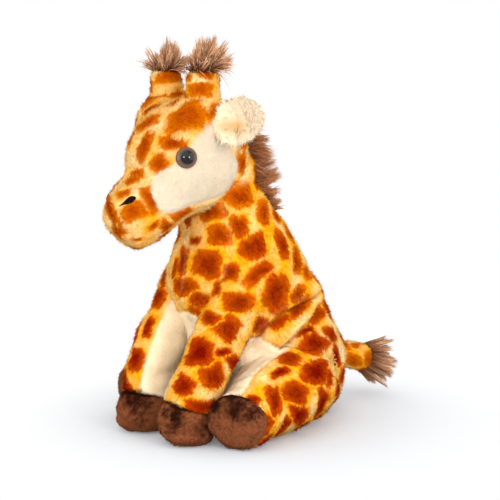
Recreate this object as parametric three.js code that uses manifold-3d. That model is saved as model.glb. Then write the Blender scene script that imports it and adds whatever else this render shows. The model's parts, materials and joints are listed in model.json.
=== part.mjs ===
// Sitting plush giraffe: sewn and stuffed pieces with sprung seams.
// Millimetres, +Z up. The giraffe faces -Y and its left side is +X.
// The origin is on the floor, under the middle of the toy.
import * as THREE from 'three';
import { mergeVertices } from 'three/addons/utils/BufferGeometryUtils.js';
import Module from 'manifold-3d';

const wasm = await Module();
wasm.setup();

// Clearances and fabric
const seamGap = 0.3;
const swingGap = 0.5;
const neckGap = 1.1;
const skinThickness = 1.6;
const overrun = 60;
const weldDistance = 0.0001;

// Body and neck, one bag of plush
const bodyHeight = 160;
const bodyWidth = 88;
const bodyDepth = 105;
const floorCut = 0.5;
const neckBallRadius = 27;
const neckBallForward = 35;
const bodySides = 28;
const roomSides = 12;
const insideSides = 20;

// Head
const headLength = 116;
const headHeight = 76;
const headWidth = 63;
const headPitchDegrees = 34.5;
const headBehindPivot = 10;
const headAbovePivot = 20;
const headSides = 24;
const headNodDegrees = 10;
const patchThickness = 1.6;

// Eyes
const eyeRadius = 6.6;
const eyeDomeHeight = 4.2;
const eyeShankRadius = 1.9;
const eyeShankLength = 8.5;
const eyeWasherRadius = 5.5;
const eyeWasherThickness = 1.2;

// Ears
const earLength = 39;
const earHeight = 31;
const earThickness = 2.4;
const earLiningThickness = 1.5;
const earCup = 5;
const earMargin = 1.6;
const earTipHalfWidth = 0.6;
const earRootRadius = 3.6;
const earRootLength = 13;
const earFoldDegrees = 25;

// Horns and their tufts
const hornRadius = 10;
const hornHeight = 24.5;
const hornSpacing = 37;
const tuftBaseHeight = 4;
const hornTuftLength = 20;
const hornTuftLocks = 10;
const lockRadius = 2.4;
const lockSides = 4;

// Mane
const maneHeight = 15;
const maneWidth = 7;
const maneUpperLocks = 7;
const maneLowerLocks = 9;
const maneTopDrop = 5;

// Front legs
const shoulderRadius = 16.5;
const frontLegRadius = 16;
const frontHoofHeight = 27;
const frontHoofSpacing = 43;
const frontHoofReach = 81;
const frontLegLiftDegrees = 35;
const legSides = 18;

// Hind legs
const hipRadius = 28.5;
const hipSpacing = 72;
const hindHoofRadius = 17.5;
const hindHoofSetBack = 11;
const hindHoofLength = 9;
const legToLegGap = 2;
const hindLegLiftDegrees = 15;
const hindLegSplayShare = 0.35;

// Tail
const tailRadius = 8.6;
const tailLength = 44;
const tailHeight = 34;
const tailDrop = 7;
const tailTuftLength = 34;
const tailTuftLocks = 12;
const tailWagDegrees = 25;

// Pellet bag in the seat
const pelletBagWidth = 40;
const pelletBagDepth = 26;
const pelletBagHeight = 15;

const TAU = Math.PI * 2;
const axisX = new THREE.Vector3(1, 0, 0);
const axisZ = new THREE.Vector3(0, 0, 1);

function vec(x, y, z) {
  return new THREE.Vector3(x, y, z);
}

function radians(degrees) {
  return THREE.MathUtils.degToRad(degrees);
}

// Solids and geometries

function signedVolume(positions, index) {
  const [a, b, c] = [vec(0, 0, 0), vec(0, 0, 0), vec(0, 0, 0)];
  let volume = 0;
  for (let i = 0; i < index.length; i += 3) {
    a.fromArray(positions, index[i] * 3);
    b.fromArray(positions, index[i + 1] * 3);
    c.fromArray(positions, index[i + 2] * 3);
    volume += a.dot(b.cross(c));
  }
  return volume;
}

function toSolid(geometry) {
  const bare = geometry.clone();
  bare.deleteAttribute('normal');
  bare.deleteAttribute('uv');
  const merged = mergeVertices(bare, weldDistance);
  const positions = Float32Array.from(merged.attributes.position.array);
  const index = Uint32Array.from(merged.index.array);
  if (signedVolume(positions, index) < 0) {
    index.reverse();
  }
  return new wasm.Manifold(new wasm.Mesh({ numProp: 3, vertProperties: positions, triVerts: index }));
}

function toGeometry(solid) {
  const mesh = solid.getMesh();
  const geometry = new THREE.BufferGeometry();
  geometry.setAttribute('position', new THREE.BufferAttribute(Float32Array.from(mesh.vertProperties), 3));
  geometry.setIndex(new THREE.BufferAttribute(Uint32Array.from(mesh.triVerts), 1));
  return geometry;
}

function moved(geometry, matrix) {
  return geometry.clone().applyMatrix4(matrix);
}

function turned(geometry, pivot, axis, angle) {
  const matrix = new THREE.Matrix4().makeTranslation(pivot.x, pivot.y, pivot.z);
  matrix.multiply(new THREE.Matrix4().makeRotationAxis(axis, angle));
  matrix.multiply(new THREE.Matrix4().makeTranslation(-pivot.x, -pivot.y, -pivot.z));
  return moved(geometry, matrix);
}

function mirrored(geometry) {
  return moved(geometry, new THREE.Matrix4().makeScale(-1, 1, 1));
}

function joinAll(solids) {
  return solids.reduce((whole, next) => whole.add(next));
}

// The room that a piece takes as it swings about its pivot
function sweptSolid(geometries, pivot, axis, angles) {
  const places = angles.flatMap((angle) => geometries.map((shape) => turned(shape, pivot, axis, angle)));
  return joinAll(places.map(toSolid));
}

// Angles from first to last, in degrees, given in radians
function swingAngles(first, last, steps) {
  return Array.from({ length: steps + 1 }, (_, i) => radians(first + ((last - first) * i) / steps));
}

// Joins rings of points into one closed skin, with a flat fan at each end
function loft(rings) {
  const count = rings[0].length;
  const points = rings.flat();
  const index = [];
  for (let r = 0; r + 1 < rings.length; r += 1) {
    for (let i = 0; i < count; i += 1) {
      const next = (i + 1) % count;
      const [a, b] = [r * count + i, r * count + next];
      const [c, d] = [a + count, b + count];
      index.push(a, b, d, a, d, c);
    }
  }
  const middle = (ring) => ring.reduce((sum, p) => sum.add(p), vec(0, 0, 0)).divideScalar(count);
  const start = points.push(middle(rings[0])) - 1;
  const end = points.push(middle(rings[rings.length - 1])) - 1;
  const last = (rings.length - 1) * count;
  for (let i = 0; i < count; i += 1) {
    const next = (i + 1) % count;
    index.push(start, next, i, end, last + i, last + next);
  }
  const geometry = new THREE.BufferGeometry().setFromPoints(points);
  geometry.setIndex(index);
  return geometry;
}

// An oval ring with its own two half-axes
function ovalRing(middle, halfA, halfB, sides) {
  return Array.from({ length: sides }, (_, i) => {
    const turn = (TAU * i) / sides;
    return middle.clone().addScaledVector(halfA, Math.cos(turn)).addScaledVector(halfB, Math.sin(turn));
  });
}

// Smooth value of each column of a table at a place in its first column
function tableRow(table, place) {
  const last = table.length - 2;
  let i = table.findIndex((row) => row[0] > place) - 1;
  if (i < 0) {
    i = place < table[0][0] ? 0 : last;
  }
  i = Math.min(i, last);
  const [before, low, high, after] = [-1, 0, 1, 2].map((step) => {
    return table[Math.min(Math.max(i + step, 0), table.length - 1)];
  });
  const span = high[0] - low[0];
  const t = THREE.MathUtils.clamp((place - low[0]) / span, 0, 1);
  return low.slice(1).map((value, k) => {
    const c = k + 1;
    const slopeLow = ((high[c] - before[c]) / (high[0] - before[0])) * span;
    const slopeHigh = ((after[c] - low[c]) / (after[0] - low[0])) * span;
    const [t2, t3] = [t * t, t * t * t];
    const fromLow = (2 * t3 - 3 * t2 + 1) * value + (t3 - 2 * t2 + t) * slopeLow;
    return fromLow + (3 * t2 - 2 * t3) * high[c] + (t3 - t2) * slopeHigh;
  });
}

// A limb: round sections along a smooth line, widths from a table of shares
function limb(points, radius, widthShares, sides, grow, places) {
  const line = new THREE.CatmullRomCurve3(points, false, 'centripetal');
  const snug = 1 / Math.cos(Math.PI / sides);
  const fit = grow > 0 ? snug : 1;
  const rings = places.map((place) => {
    const tangent = line.getTangent(place);
    const across = axisX.clone().addScaledVector(tangent, -tangent.x).normalize();
    const up = tangent.clone().cross(across);
    const size = (radius * tableRow(widthShares, place)[0] + grow) * fit;
    return ovalRing(line.getPoint(place), across.multiplyScalar(size), up.multiplyScalar(size), sides);
  });
  return loft(rings);
}

function ball(middle, radius, sides, grow) {
  const fit = grow > 0 ? 1 / Math.cos(Math.PI / sides) ** 2 : 1;
  const sphere = new THREE.SphereGeometry((radius + grow) * fit, sides, sides / 2);
  return moved(sphere, new THREE.Matrix4().makeTranslation(middle.x, middle.y, middle.z));
}

// Everything on one side of a plane, as far as the overrun reaches
function halfSpace(point, normal) {
  const reach = bodyHeight + overrun;
  const box = new THREE.BoxGeometry(reach * 2, reach * 2, reach);
  const matrix = new THREE.Matrix4().makeTranslation(point.x, point.y, point.z);
  const spin = new THREE.Quaternion().setFromUnitVectors(axisZ, normal.clone().normalize());
  matrix.multiply(new THREE.Matrix4().makeRotationFromQuaternion(spin));
  matrix.multiply(new THREE.Matrix4().makeTranslation(0, 0, reach / 2));
  return toSolid(moved(box, matrix));
}

const belowFloor = halfSpace(vec(0, 0, 0), vec(0, 0, -1));

// Body and neck

// Rows: height, half width, back and front, as shares of the body's sizes
const bodyShares = [
  [-0.003, 0.27, 0.36, -0.13],
  [0.012, 0.36, 0.45, -0.21],
  [0.055, 0.43, 0.535, -0.3],
  [0.11, 0.465, 0.575, -0.365],
  [0.19, 0.485, 0.6, -0.41],
  [0.28, 0.5, 0.58, -0.47],
  [0.41, 0.5, 0.475, -0.545],
  [0.5, 0.49, 0.405, -0.61],
  [0.575, 0.475, 0.345, -0.638],
  [0.65, 0.455, 0.29, -0.625],
  [0.72, 0.43, 0.245, -0.6],
  [0.8, 0.395, 0.19, -0.57],
  [0.87, 0.365, 0.125, -0.558],
];

// Half width, back and front of the body at a height
function bodySection(height) {
  const [width, back, front] = tableRow(bodyShares, height / bodyHeight);
  return { halfWidth: width * bodyWidth, back: back * bodyDepth, front: front * bodyDepth };
}

function bodySurface(height, xShare, toFront) {
  const { halfWidth, back, front } = bodySection(height);
  const reach = ((back - front) / 2) * Math.sqrt(1 - xShare * xShare);
  const middle = (back + front) / 2;
  return vec(halfWidth * xShare, toFront ? middle - reach : middle + reach, height);
}

const neckPivot = vec(0, -neckBallForward, bodyHeight);
const neckDomeDegrees = [0, 18, 36, 54, 72, 86];

function bodyForm(grow, sides = bodySides) {
  const dome = neckDomeDegrees.map((degrees) => {
    const turn = radians(degrees);
    const size = neckBallRadius + grow;
    const middle = neckPivot.clone().addScaledVector(axisZ, size * Math.sin(turn));
    const wide = size * Math.cos(turn) * (grow > 0 ? 1 / Math.cos(Math.PI / sides) : 1);
    return ovalRing(middle, vec(wide, 0, 0), vec(0, wide, 0), sides);
  });
  return loft([...bodyRings(grow, sides, -1), ...dome]);
}

function bodyRings(grow, sides, lowestShare) {
  const fit = grow > 0 ? 1 / Math.cos(Math.PI / sides) : 1;
  const places = bodyShares.map(([share]) => share).filter((share) => share > lowestShare);
  return places.map((share, i) => {
    const height = share * bodyHeight;
    const { halfWidth, back, front } = bodySection(height);
    const lift = i === 0 ? -grow : 0;
    const middle = vec(0, (back + front) / 2, height + lift);
    const halfDepth = ((back - front) / 2 + grow) * fit;
    return ovalRing(middle, vec((halfWidth + grow) * fit, 0, 0), vec(0, halfDepth, 0), sides);
  });
}

// Front legs

const shoulderHeightShare = 0.54;
const shoulderOutShare = 0.31;
const shoulderSinkShare = 0.8;
const shoulder = (() => {
  const height = bodyHeight * shoulderHeightShare;
  const out = bodyWidth * shoulderOutShare;
  const skin = bodySurface(height, out / bodySection(height).halfWidth, true);
  return vec(out, skin.y + shoulderRadius * shoulderSinkShare, height);
})();
const frontHoof = vec(frontHoofSpacing / 2, -frontHoofReach, 0);
const frontSwing = vec(-1, 0, 0);
const frontBendShares = [[0, 0, 0], [0.3, 0.55, 0.35], [0.72, 0.9, 0.7], [1, 1, 1]];
const frontWidthShares = [
  [0, 0.96], [0.45, 1], [0.7, 1.0], [0.86, 1.06], [0.93, 1.04], [0.97, 0.94], [1, 0.7],
];
const frontPlaceShares = [0, 0.2, 0.4, 0.55, 0.68, 0.78, 0.86, 0.93, 0.97, 1];
const frontNearShares = [0, 0.25, 0.5];

function frontLegLine() {
  return frontBendShares.map(([out, reach, drop]) => vec(
    THREE.MathUtils.lerp(shoulder.x, frontHoof.x, out),
    THREE.MathUtils.lerp(shoulder.y, frontHoof.y, reach),
    THREE.MathUtils.lerp(shoulder.z, -floorCut, drop),
  ));
}

function frontLegForms(grow, sides = legSides, places = frontPlaceShares) {
  return [
    ball(shoulder, shoulderRadius, sides, grow),
    limb(frontLegLine(), frontLegRadius, frontWidthShares, sides, grow, places),
  ];
}

// Hind legs

const hip = vec(hipSpacing / 2, 0, hipRadius + floorCut);
const hindHoofOut = frontHoof.x + frontLegRadius + hindHoofRadius + legToLegGap;
const hindHoof = vec(hindHoofOut, frontHoof.y + hindHoofSetBack, hindHoofRadius - floorCut);
const hindBendShares = [[0, 0, 0], [0.4, 0.3, 0.22], [0.72, 0.6, 0.75], [1, 1, 1]];
const hindWidthShares = [
  [0, 1.5], [0.2, 1.5], [0.4, 1.4], [0.58, 1.22], [0.75, 1.07], [0.9, 1.0], [0.97, 1.0], [1, 0.9],
];
const hindNearShares = [0, 0.25, 0.4, 0.55, 0.8];
const hindPlaceShares = [0, 0.25, 0.4, 0.55, 0.68, 0.8, 0.9, 0.97, 1];
const hindSwing = vec(-1, 0, hindLegSplayShare).normalize();

function hindLegLine() {
  return hindBendShares.map(([along, out, drop]) => vec(
    THREE.MathUtils.lerp(hip.x, hindHoof.x, out),
    THREE.MathUtils.lerp(hip.y, hindHoof.y, along),
    THREE.MathUtils.lerp(hip.z, hindHoof.z, drop),
  ));
}

function hindLegForms(grow, sides = legSides, places = hindPlaceShares) {
  return [
    ball(hip, hipRadius, sides, grow),
    limb(hindLegLine(), hindHoofRadius, hindWidthShares, sides, grow, places),
  ];
}

// Tail

const tailRootSinkShare = 0.35;
const tailRoot = (() => {
  const skin = bodySurface(tailHeight, 0, false);
  return vec(0, skin.y - tailRadius * tailRootSinkShare, tailHeight);
})();
const tailEnd = vec(0, tailRoot.y + tailLength, tailHeight - tailDrop);
const tailWidthShares = [[0, 1], [0.5, 0.96], [0.9, 0.9], [1, 0.78]];
const tailPlaceShares = [0, 0.25, 0.5, 0.75, 0.92, 1];
const tailNearShares = [0, 0.3];
const tailBendShare = 0.5;
const tailBendDropShare = 0.25;
const tailSides = 14;

function tailForms(grow, places = tailPlaceShares) {
  const bendReach = THREE.MathUtils.lerp(tailRoot.y, tailEnd.y, tailBendShare);
  const bend = vec(0, bendReach, tailHeight - tailDrop * tailBendDropShare);
  return [
    ball(tailRoot, tailRadius, tailSides, grow),
    limb([tailRoot, bend, tailEnd], tailRadius, tailWidthShares, tailSides, grow, places),
  ];
}

// Head, built about the neck pivot and pitched down towards the muzzle

// Rows: place along, top, bottom and half width, as shares of the head's sizes
const headShares = [
  [0, -0.12, -0.15, 0.02],
  [0.009, 0, -0.263, 0.143],
  [0.035, 0.092, -0.368, 0.254],
  [0.079, 0.204, -0.447, 0.349],
  [0.148, 0.362, -0.5, 0.429],
  [0.218, 0.48, -0.5, 0.468],
  [0.323, 0.566, -0.467, 0.492],
  [0.428, 0.586, -0.408, 0.5],
  [0.515, 0.566, -0.355, 0.484],
  [0.594, 0.513, -0.316, 0.444],
  [0.655, 0.441, -0.296, 0.405],
  [0.707, 0.349, -0.289, 0.378],
  [0.769, 0.303, -0.289, 0.365],
  [0.83, 0.293, -0.289, 0.365],
  [0.891, 0.267, -0.263, 0.333],
  [0.943, 0.204, -0.204, 0.262],
  [0.978, 0.132, -0.132, 0.175],
  [1, 0.02, -0.02, 0.02],
];
const headAlong = vec(0, -Math.cos(radians(headPitchDegrees)), -Math.sin(radians(headPitchDegrees)));
const headUp = vec(0, -Math.sin(radians(headPitchDegrees)), Math.cos(radians(headPitchDegrees)));
const headBackShare = 0.271;
const headMiddle = vec(0, neckPivot.y - headBehindPivot, neckPivot.z + headAbovePivot);
const headStart = headMiddle.clone().addScaledVector(headAlong, -headLength * headBackShare);

// A point of the head's surface: place along, and how far round from the left side
function headSurface(share, turn, grow = 0) {
  const [top, bottom, halfWidth] = tableRow(headShares, share);
  const middle = headStart.clone().addScaledVector(headAlong, share * headLength);
  middle.addScaledVector(headUp, ((top + bottom) / 2) * headHeight);
  const rise = ((top - bottom) / 2) * headHeight + grow;
  middle.x += Math.cos(turn) * (halfWidth * headWidth + grow);
  return middle.addScaledVector(headUp, Math.sin(turn) * rise);
}

function headForm(grow, sides = headSides) {
  const places = headShares.map(([share]) => share);
  const rings = places.map((share, i) => {
    const ring = Array.from({ length: sides }, (_, k) => headSurface(share, (TAU * k) / sides, grow));
    const push = i === 0 ? -grow : 0;
    const pull = i === places.length - 1 ? grow : 0;
    return ring.map((point) => point.addScaledVector(headAlong, push + pull));
  });
  return loft(rings);
}

// Outline of a cheek patch seen from the side: along and up shares of the head
const cheekShares = [
  [0.309, 0.35], [0.29, 0.13], [0.285, -0.02], [0.33, -0.14], [0.43, -0.224], [0.55, -0.17], [0.66, -0.09],
  [0.76, -0.035], [0.815, 0.05], [0.8, 0.16], [0.757, 0.22], [0.69, 0.27], [0.6, 0.285], [0.5, 0.32],
  [0.41, 0.36],
];
const cheekInnerShare = 0.125;

// A closed smooth outline through points, pushed out from its middle
function smoothOutline(corners, steps, grow) {
  const curve = new THREE.CatmullRomCurve3(corners, true, 'centripetal');
  const points = curve.getPoints(corners.length * steps).slice(0, -1);
  const middle = points.reduce((sum, p) => sum.add(p), vec(0, 0, 0)).divideScalar(points.length);
  return points.map((p) => p.clone().addScaledVector(p.clone().sub(middle).normalize(), grow));
}

function cheekPrism(grow) {
  const corners = cheekShares.map(([along, up]) => {
    const place = headStart.clone().addScaledVector(headAlong, along * headLength);
    return place.addScaledVector(headUp, up * headHeight);
  });
  const outline = smoothOutline(corners, 2, grow);
  const ringAt = (x) => outline.map((p) => vec(x, p.y, p.z));
  return toSolid(loft([ringAt(headWidth * cheekInnerShare), ringAt(headWidth)]));
}

// Eyes

const eyePlaceShare = 0.545;
const eyeTurnDegrees = 22;
const eyeStepShare = 0.02;
const eyeStepDegrees = 6;
const eyeAxis = (() => {
  const at = headSurface(eyePlaceShare, radians(eyeTurnDegrees));
  const ahead = headSurface(eyePlaceShare + eyeStepShare, radians(eyeTurnDegrees)).sub(at);
  const round = headSurface(eyePlaceShare, radians(eyeTurnDegrees + eyeStepDegrees)).sub(at);
  const out = round.cross(ahead).normalize();
  return { at, out: out.x > 0 ? out : out.negate() };
})();

function onEyeAxis(profile, sides) {
  const spun = new THREE.LatheGeometry(profile.map(([r, h]) => new THREE.Vector2(r, h)), sides);
  const spin = new THREE.Quaternion().setFromUnitVectors(vec(0, 1, 0), eyeAxis.out);
  const matrix = new THREE.Matrix4().makeTranslation(eyeAxis.at.x, eyeAxis.at.y, eyeAxis.at.z);
  return moved(spun, matrix.multiply(new THREE.Matrix4().makeRotationFromQuaternion(spin)));
}

const eyeSides = 14;
const eyeSinkShare = 0.3;
const eyeRimShare = 0.2;
const eyeDomeDegrees = [0, 22, 45, 68, 90];
const eyeSink = eyeDomeHeight * eyeSinkShare;
const eyeRimHeight = eyeDomeHeight * eyeRimShare;

function eyeSolid(grow) {
  const back = -eyeSink - grow;
  const dome = eyeDomeDegrees.map((degrees) => {
    const turn = radians(degrees);
    return [
      (eyeRadius + grow) * Math.cos(turn),
      back + eyeRimHeight + grow + (eyeDomeHeight - eyeRimHeight + grow) * Math.sin(turn),
    ];
  });
  dome[dome.length - 1][0] = 0;
  const shank = eyeShankRadius + grow;
  const end = -eyeSink - eyeShankLength - grow;
  const profile = [[0, end], [shank, end], [shank, back], [eyeRadius + grow, back], ...dome];
  return toSolid(onEyeAxis(profile, eyeSides));
}

function eyeWasher(grow) {
  const inner = grow > 0 ? 0 : eyeShankRadius + seamGap;
  const low = -eyeSink - eyeShankLength + eyeShankRadius / 2 - grow;
  const high = low + eyeWasherThickness + grow * 2;
  const outer = eyeWasherRadius + grow;
  const profile = [[inner, low], [outer, low], [outer, high], [inner, high]];
  if (inner > 0) {
    profile.push([inner, low]);
  }
  return toSolid(onEyeAxis(profile, eyeSides));
}

// Ears

const earPlaceShare = 0.25;
const earTurnDegrees = 29;
const earTiltDegrees = 4;
const earRoot = headSurface(earPlaceShare, radians(earTurnDegrees));
const earHinge = vec(-Math.sin(radians(earTiltDegrees)), 0, Math.cos(radians(earTiltDegrees)));
const earOut = vec(Math.cos(radians(earTiltDegrees)), 0, Math.sin(radians(earTiltDegrees)));
const earBack = vec(0, 1, 0);
const earOutlineShares = [
  [0, 0.2], [0.1, 0.28], [0.22, 0.4], [0.38, 0.49], [0.55, 0.5], [0.72, 0.45], [0.86, 0.33], [0.95, 0.18],
  [1, 0.04],
];
const earLiningStartShare = 0.2;
const earAcross = 7;
const earBeadDegrees = [-90, -60, -30, 0];
const earBeadSides = 12;
const earFanShare = 0.4;
const earFanBackShares = [0.3, 0.6];

// One leaf of the ear, between two depths behind its cupped front face
function earLeaf(firstShare, marginWidth, frontDepth, backDepth, grow) {
  const places = earOutlineShares.map(([share]) => share).filter((share) => share >= firstShare);
  const rings = places.map((share) => {
    const full = tableRow(earOutlineShares, share)[0] * earHeight;
    const half = Math.max(full - marginWidth, earTipHalfWidth) + grow;
    const shrink = marginWidth > 0 ? (marginWidth * share) / earLength : 0;
    const far = (share - shrink) * earLength + (share === 1 ? grow : 0);
    const point = (side, depth) => {
      const cup = earCup * side * side * (half / (earHeight / 2)) ** 2;
      const place = earRoot.clone().addScaledVector(earOut, far);
      return place.addScaledVector(earHinge, side * half).addScaledVector(earBack, depth - cup);
    };
    const sides = Array.from({ length: earAcross }, (_, i) => -1 + (2 * i) / (earAcross - 1));
    const front = sides.map((side) => point(side, frontDepth - grow));
    const back = sides.map((side) => point(-side, backDepth + grow));
    return [...front, ...back];
  });
  return loft(rings);
}

function earRootBead(grow) {
  const half = earRootLength / 2;
  const profile = earBeadDegrees.map((degrees) => {
    const turn = radians(degrees);
    return new THREE.Vector2(
      Math.max((earRootRadius + grow) * Math.cos(turn), 0),
      -half + earRootRadius + (earRootRadius + grow) * Math.sin(turn),
    );
  });
  profile[0].x = 0;
  const whole = [...profile, ...profile.map((p) => new THREE.Vector2(p.x, -p.y)).reverse()];
  const bead = new THREE.LatheGeometry(whole, earBeadSides);
  const spin = new THREE.Quaternion().setFromUnitVectors(vec(0, 1, 0), earHinge);
  const matrix = new THREE.Matrix4().makeTranslation(earRoot.x, earRoot.y, earRoot.z);
  return moved(bead, matrix.multiply(new THREE.Matrix4().makeRotationFromQuaternion(spin)));
}

// The wedge that the ear sweeps close to its root
function earFan() {
  const reach = earLength * earFanShare;
  const deepest = earLiningThickness + seamGap + earThickness + swingGap;
  const swing = radians(earFoldDegrees) + Math.atan(deepest / reach);
  const [behindShare, aheadShare] = earFanBackShares;
  const outline = [-1, -0.5, 0, 0.5, 1].map((side) => {
    return [Math.cos(swing * side) * reach, Math.sin(swing * side) * reach];
  });
  const fold = radians(earFoldDegrees);
  outline.push([0, deepest], [-deepest * Math.sin(fold), deepest * Math.cos(fold)]);
  outline.push([-deepest * behindShare, 0], [0, -deepest * aheadShare]);
  const ringAt = (up) => outline.map(([out, back]) => {
    const place = earRoot.clone().addScaledVector(earOut, out).addScaledVector(earBack, back);
    return place.addScaledVector(earHinge, up);
  });
  const half = tableRow(earOutlineShares, earFanShare)[0] * earHeight + swingGap;
  return toSolid(loft([ringAt(-half), ringAt(half)]));
}

function earOuterForms(grow) {
  const front = earLiningThickness + seamGap;
  return [earRootBead(grow), earLeaf(0, 0, front, front + earThickness, grow)];
}

// Locks of yarn

const lockShares = [[0, 1], [0.5, 0.85], [1, 0.2]];
const uprightShare = 0.9;

// A wave that makes each lock a little unlike the one before it
function uneven(index, rate, spreadShare) {
  return 1 + spreadShare * (Math.cos(index * rate) - 1);
}

// A pointed lock that starts inside its base and bends towards a second direction
function lock(start, aim, droop, length, radius) {
  const points = lockShares.map(([t]) => {
    return start.clone().addScaledVector(aim, length * t).addScaledVector(droop, length * t * t);
  });
  const side = Math.abs(aim.z) > uprightShare ? axisX.clone() : axisZ.clone();
  const rings = points.map((point, i) => {
    const [from, to] = i + 1 < points.length ? [point, points[i + 1]] : [points[i - 1], point];
    const tangent = to.clone().sub(from).normalize();
    const a = side.clone().addScaledVector(tangent, -tangent.dot(side)).normalize();
    const b = tangent.clone().cross(a);
    const size = radius * lockShares[i][1];
    return ovalRing(point, a.multiplyScalar(size), b.multiplyScalar(size), lockSides);
  });
  return toSolid(loft(rings));
}

// Even spread of directions over a cap about +Z, by the golden angle
function capDirections(count, widestDegrees) {
  const goldenTurn = Math.PI * (3 - Math.sqrt(5));
  return Array.from({ length: count }, (_, i) => {
    const polar = radians(widestDegrees) * Math.sqrt((i + 0.5) / count);
    const turn = goldenTurn * i;
    return vec(Math.sin(polar) * Math.cos(turn), Math.sin(polar) * Math.sin(turn), Math.cos(polar));
  });
}

// Horns

const hornPlaceShare = 0.27;
const hornWidthShares = [
  [-0.35, 1.2], [0, 1.16], [0.25, 1.04], [0.6, 1], [0.86, 0.98], [0.95, 0.86], [1, 0.62],
];
const hornSides = 16;
const hornBase = (() => {
  const x = hornSpacing / 2;
  const halfWidth = tableRow(headShares, hornPlaceShare)[2];
  const turn = Math.acos(x / (halfWidth * headWidth));
  const place = headSurface(hornPlaceShare, turn);
  return vec(x, place.y, place.z);
})();
const hornTop = hornBase.clone().addScaledVector(axisZ, hornHeight);

function hornForm() {
  const profile = hornWidthShares.map(([share]) => {
    return new THREE.Vector2(hornRadius * tableRow(hornWidthShares, share)[0], hornHeight * share);
  });
  profile.unshift(new THREE.Vector2(0, profile[0].y));
  profile.push(new THREE.Vector2(0, hornHeight));
  const spun = new THREE.LatheGeometry(profile, hornSides);
  const matrix = new THREE.Matrix4().makeTranslation(hornBase.x, hornBase.y, hornBase.z);
  return toSolid(moved(spun, matrix.multiply(new THREE.Matrix4().makeRotationX(Math.PI / 2))));
}

const tuftBaseShares = [[0, 0.86], [0.5, 0.94], [1, 0.62]];
const tuftStartShare = 0.45;
const tuftSpreadShare = 0.62;
const tuftSpreadDegrees = 82;
const tuftDroopShare = 0.12;
const tuftUnevenShare = 0.2;

function hornTuft() {
  const profile = tuftBaseShares.map(([up, wide]) => {
    return new THREE.Vector2(hornRadius * wide, tuftBaseHeight * up);
  });
  profile.unshift(new THREE.Vector2(0, 0));
  profile.push(new THREE.Vector2(0, tuftBaseHeight));
  const base = new THREE.LatheGeometry(profile, hornSides);
  const seat = hornTop.clone().addScaledVector(axisZ, seamGap);
  const matrix = new THREE.Matrix4().makeTranslation(seat.x, seat.y, seat.z);
  const cap = toSolid(moved(base, matrix.multiply(new THREE.Matrix4().makeRotationX(Math.PI / 2))));
  const locks = capDirections(hornTuftLocks, tuftSpreadDegrees).map((aim, i) => {
    const start = seat.clone().addScaledVector(axisZ, tuftBaseHeight * tuftStartShare);
    start.x += aim.x * hornRadius * tuftSpreadShare;
    start.y += aim.y * hornRadius * tuftSpreadShare;
    const length = hornTuftLength * uneven(i, 2.4, tuftUnevenShare);
    return lock(start, aim, vec(0, 0, -tuftDroopShare), length, lockRadius);
  });
  return joinAll([cap, ...locks]);
}

// Mane

const maneStations = [0, 0.2, 0.4, 0.6, 0.8, 1];
const maneStripSides = 6;
const maneStripShare = 0.33;
const maneLeanShare = 0.35;
const maneCombShares = [0.25, 0.15];
const maneUnevenShare = 0.12;
const maneEndShare = 0.72;
const maneDroopShare = 0.1;

// A row of locks fused to a strip that follows a line of points
function maneRow(points, count) {
  const line = new THREE.CatmullRomCurve3(points, false, 'centripetal');
  const outAt = (t) => {
    const tangent = line.getTangent(t);
    return vec(0, tangent.z, -tangent.y).multiplyScalar(tangent.z < 0 ? -1 : 1);
  };
  const strip = loft(maneStations.map((t) => {
    const [wide, proud] = [vec(maneWidth / 2, 0, 0), outAt(t).multiplyScalar(maneWidth * maneStripShare)];
    return ovalRing(line.getPoint(t), wide, proud, maneStripSides);
  }));
  const locks = Array.from({ length: count }, (_, i) => {
    const t = (i + 0.5) / count;
    const lean = Math.sin(i * 2.4) * maneLeanShare;
    const [combShare, combWaveShare] = maneCombShares;
    const out = outAt(t);
    const comb = line.getTangent(t).multiplyScalar(combShare + combWaveShare * Math.cos(i * 1.7));
    const aim = vec(lean, out.y, out.z).add(comb).normalize();
    const middling = THREE.MathUtils.lerp(maneEndShare, 1, Math.sin(Math.PI * t));
    const length = maneHeight * middling * uneven(i, 3.1, maneUnevenShare);
    return lock(line.getPoint(t), aim, vec(0, 0, -maneDroopShare), length, lockRadius);
  });
  return joinAll([toSolid(strip), ...locks]);
}

// Assembly

const neckRoomSides = 18;
const neckRoomLowestShare = 0.7;
const neckEquatorShare = 0.98;
const fillingRoomSides = 10;

function neckEquator() {
  const size = neckBallRadius * neckEquatorShare;
  return ovalRing(neckPivot, vec(size, 0, 0), vec(0, size, 0), neckRoomSides);
}

const neckTool = loft([...bodyRings(neckGap, neckRoomSides, neckRoomLowestShare), neckEquator()]);
const neckTurns = swingAngles(-headNodDegrees, headNodDegrees, 2);
const neckBallRoom = toSolid(ball(neckPivot, neckBallRadius, neckRoomSides, swingGap));
const neckRoom = neckBallRoom.add(sweptSolid([neckTool], neckPivot, axisX, neckTurns));

// The room that a leg sweeps from rest to its limit
function frontLegRoom(grow, sides, steps) {
  const [round, straight] = frontLegForms(grow, sides, frontNearShares);
  const turns = swingAngles(0, frontLegLiftDegrees, steps);
  return toSolid(round).add(sweptSolid([straight], shoulder, frontSwing, turns));
}

function hindLegRoom(grow, sides, steps) {
  const [round, straight] = hindLegForms(grow, sides, hindNearShares);
  const turns = swingAngles(0, hindLegLiftDegrees, steps);
  return toSolid(round).add(sweptSolid([straight], hip, hindSwing, turns));
}

const frontRoom = frontLegRoom(swingGap, roomSides, 3);
const hindRoom = hindLegRoom(swingGap, roomSides, 2);
const [tailBallRoom, tailLimbRoom] = tailForms(swingGap, tailNearShares);
const tailTurns = swingAngles(-tailWagDegrees, tailWagDegrees, 4);
const tailRoom = toSolid(tailBallRoom).add(sweptSolid([tailLimbRoom], tailRoot, axisZ, tailTurns));

function bothSides(solid) {
  return solid.add(toSolid(mirrored(toGeometry(solid))));
}

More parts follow.
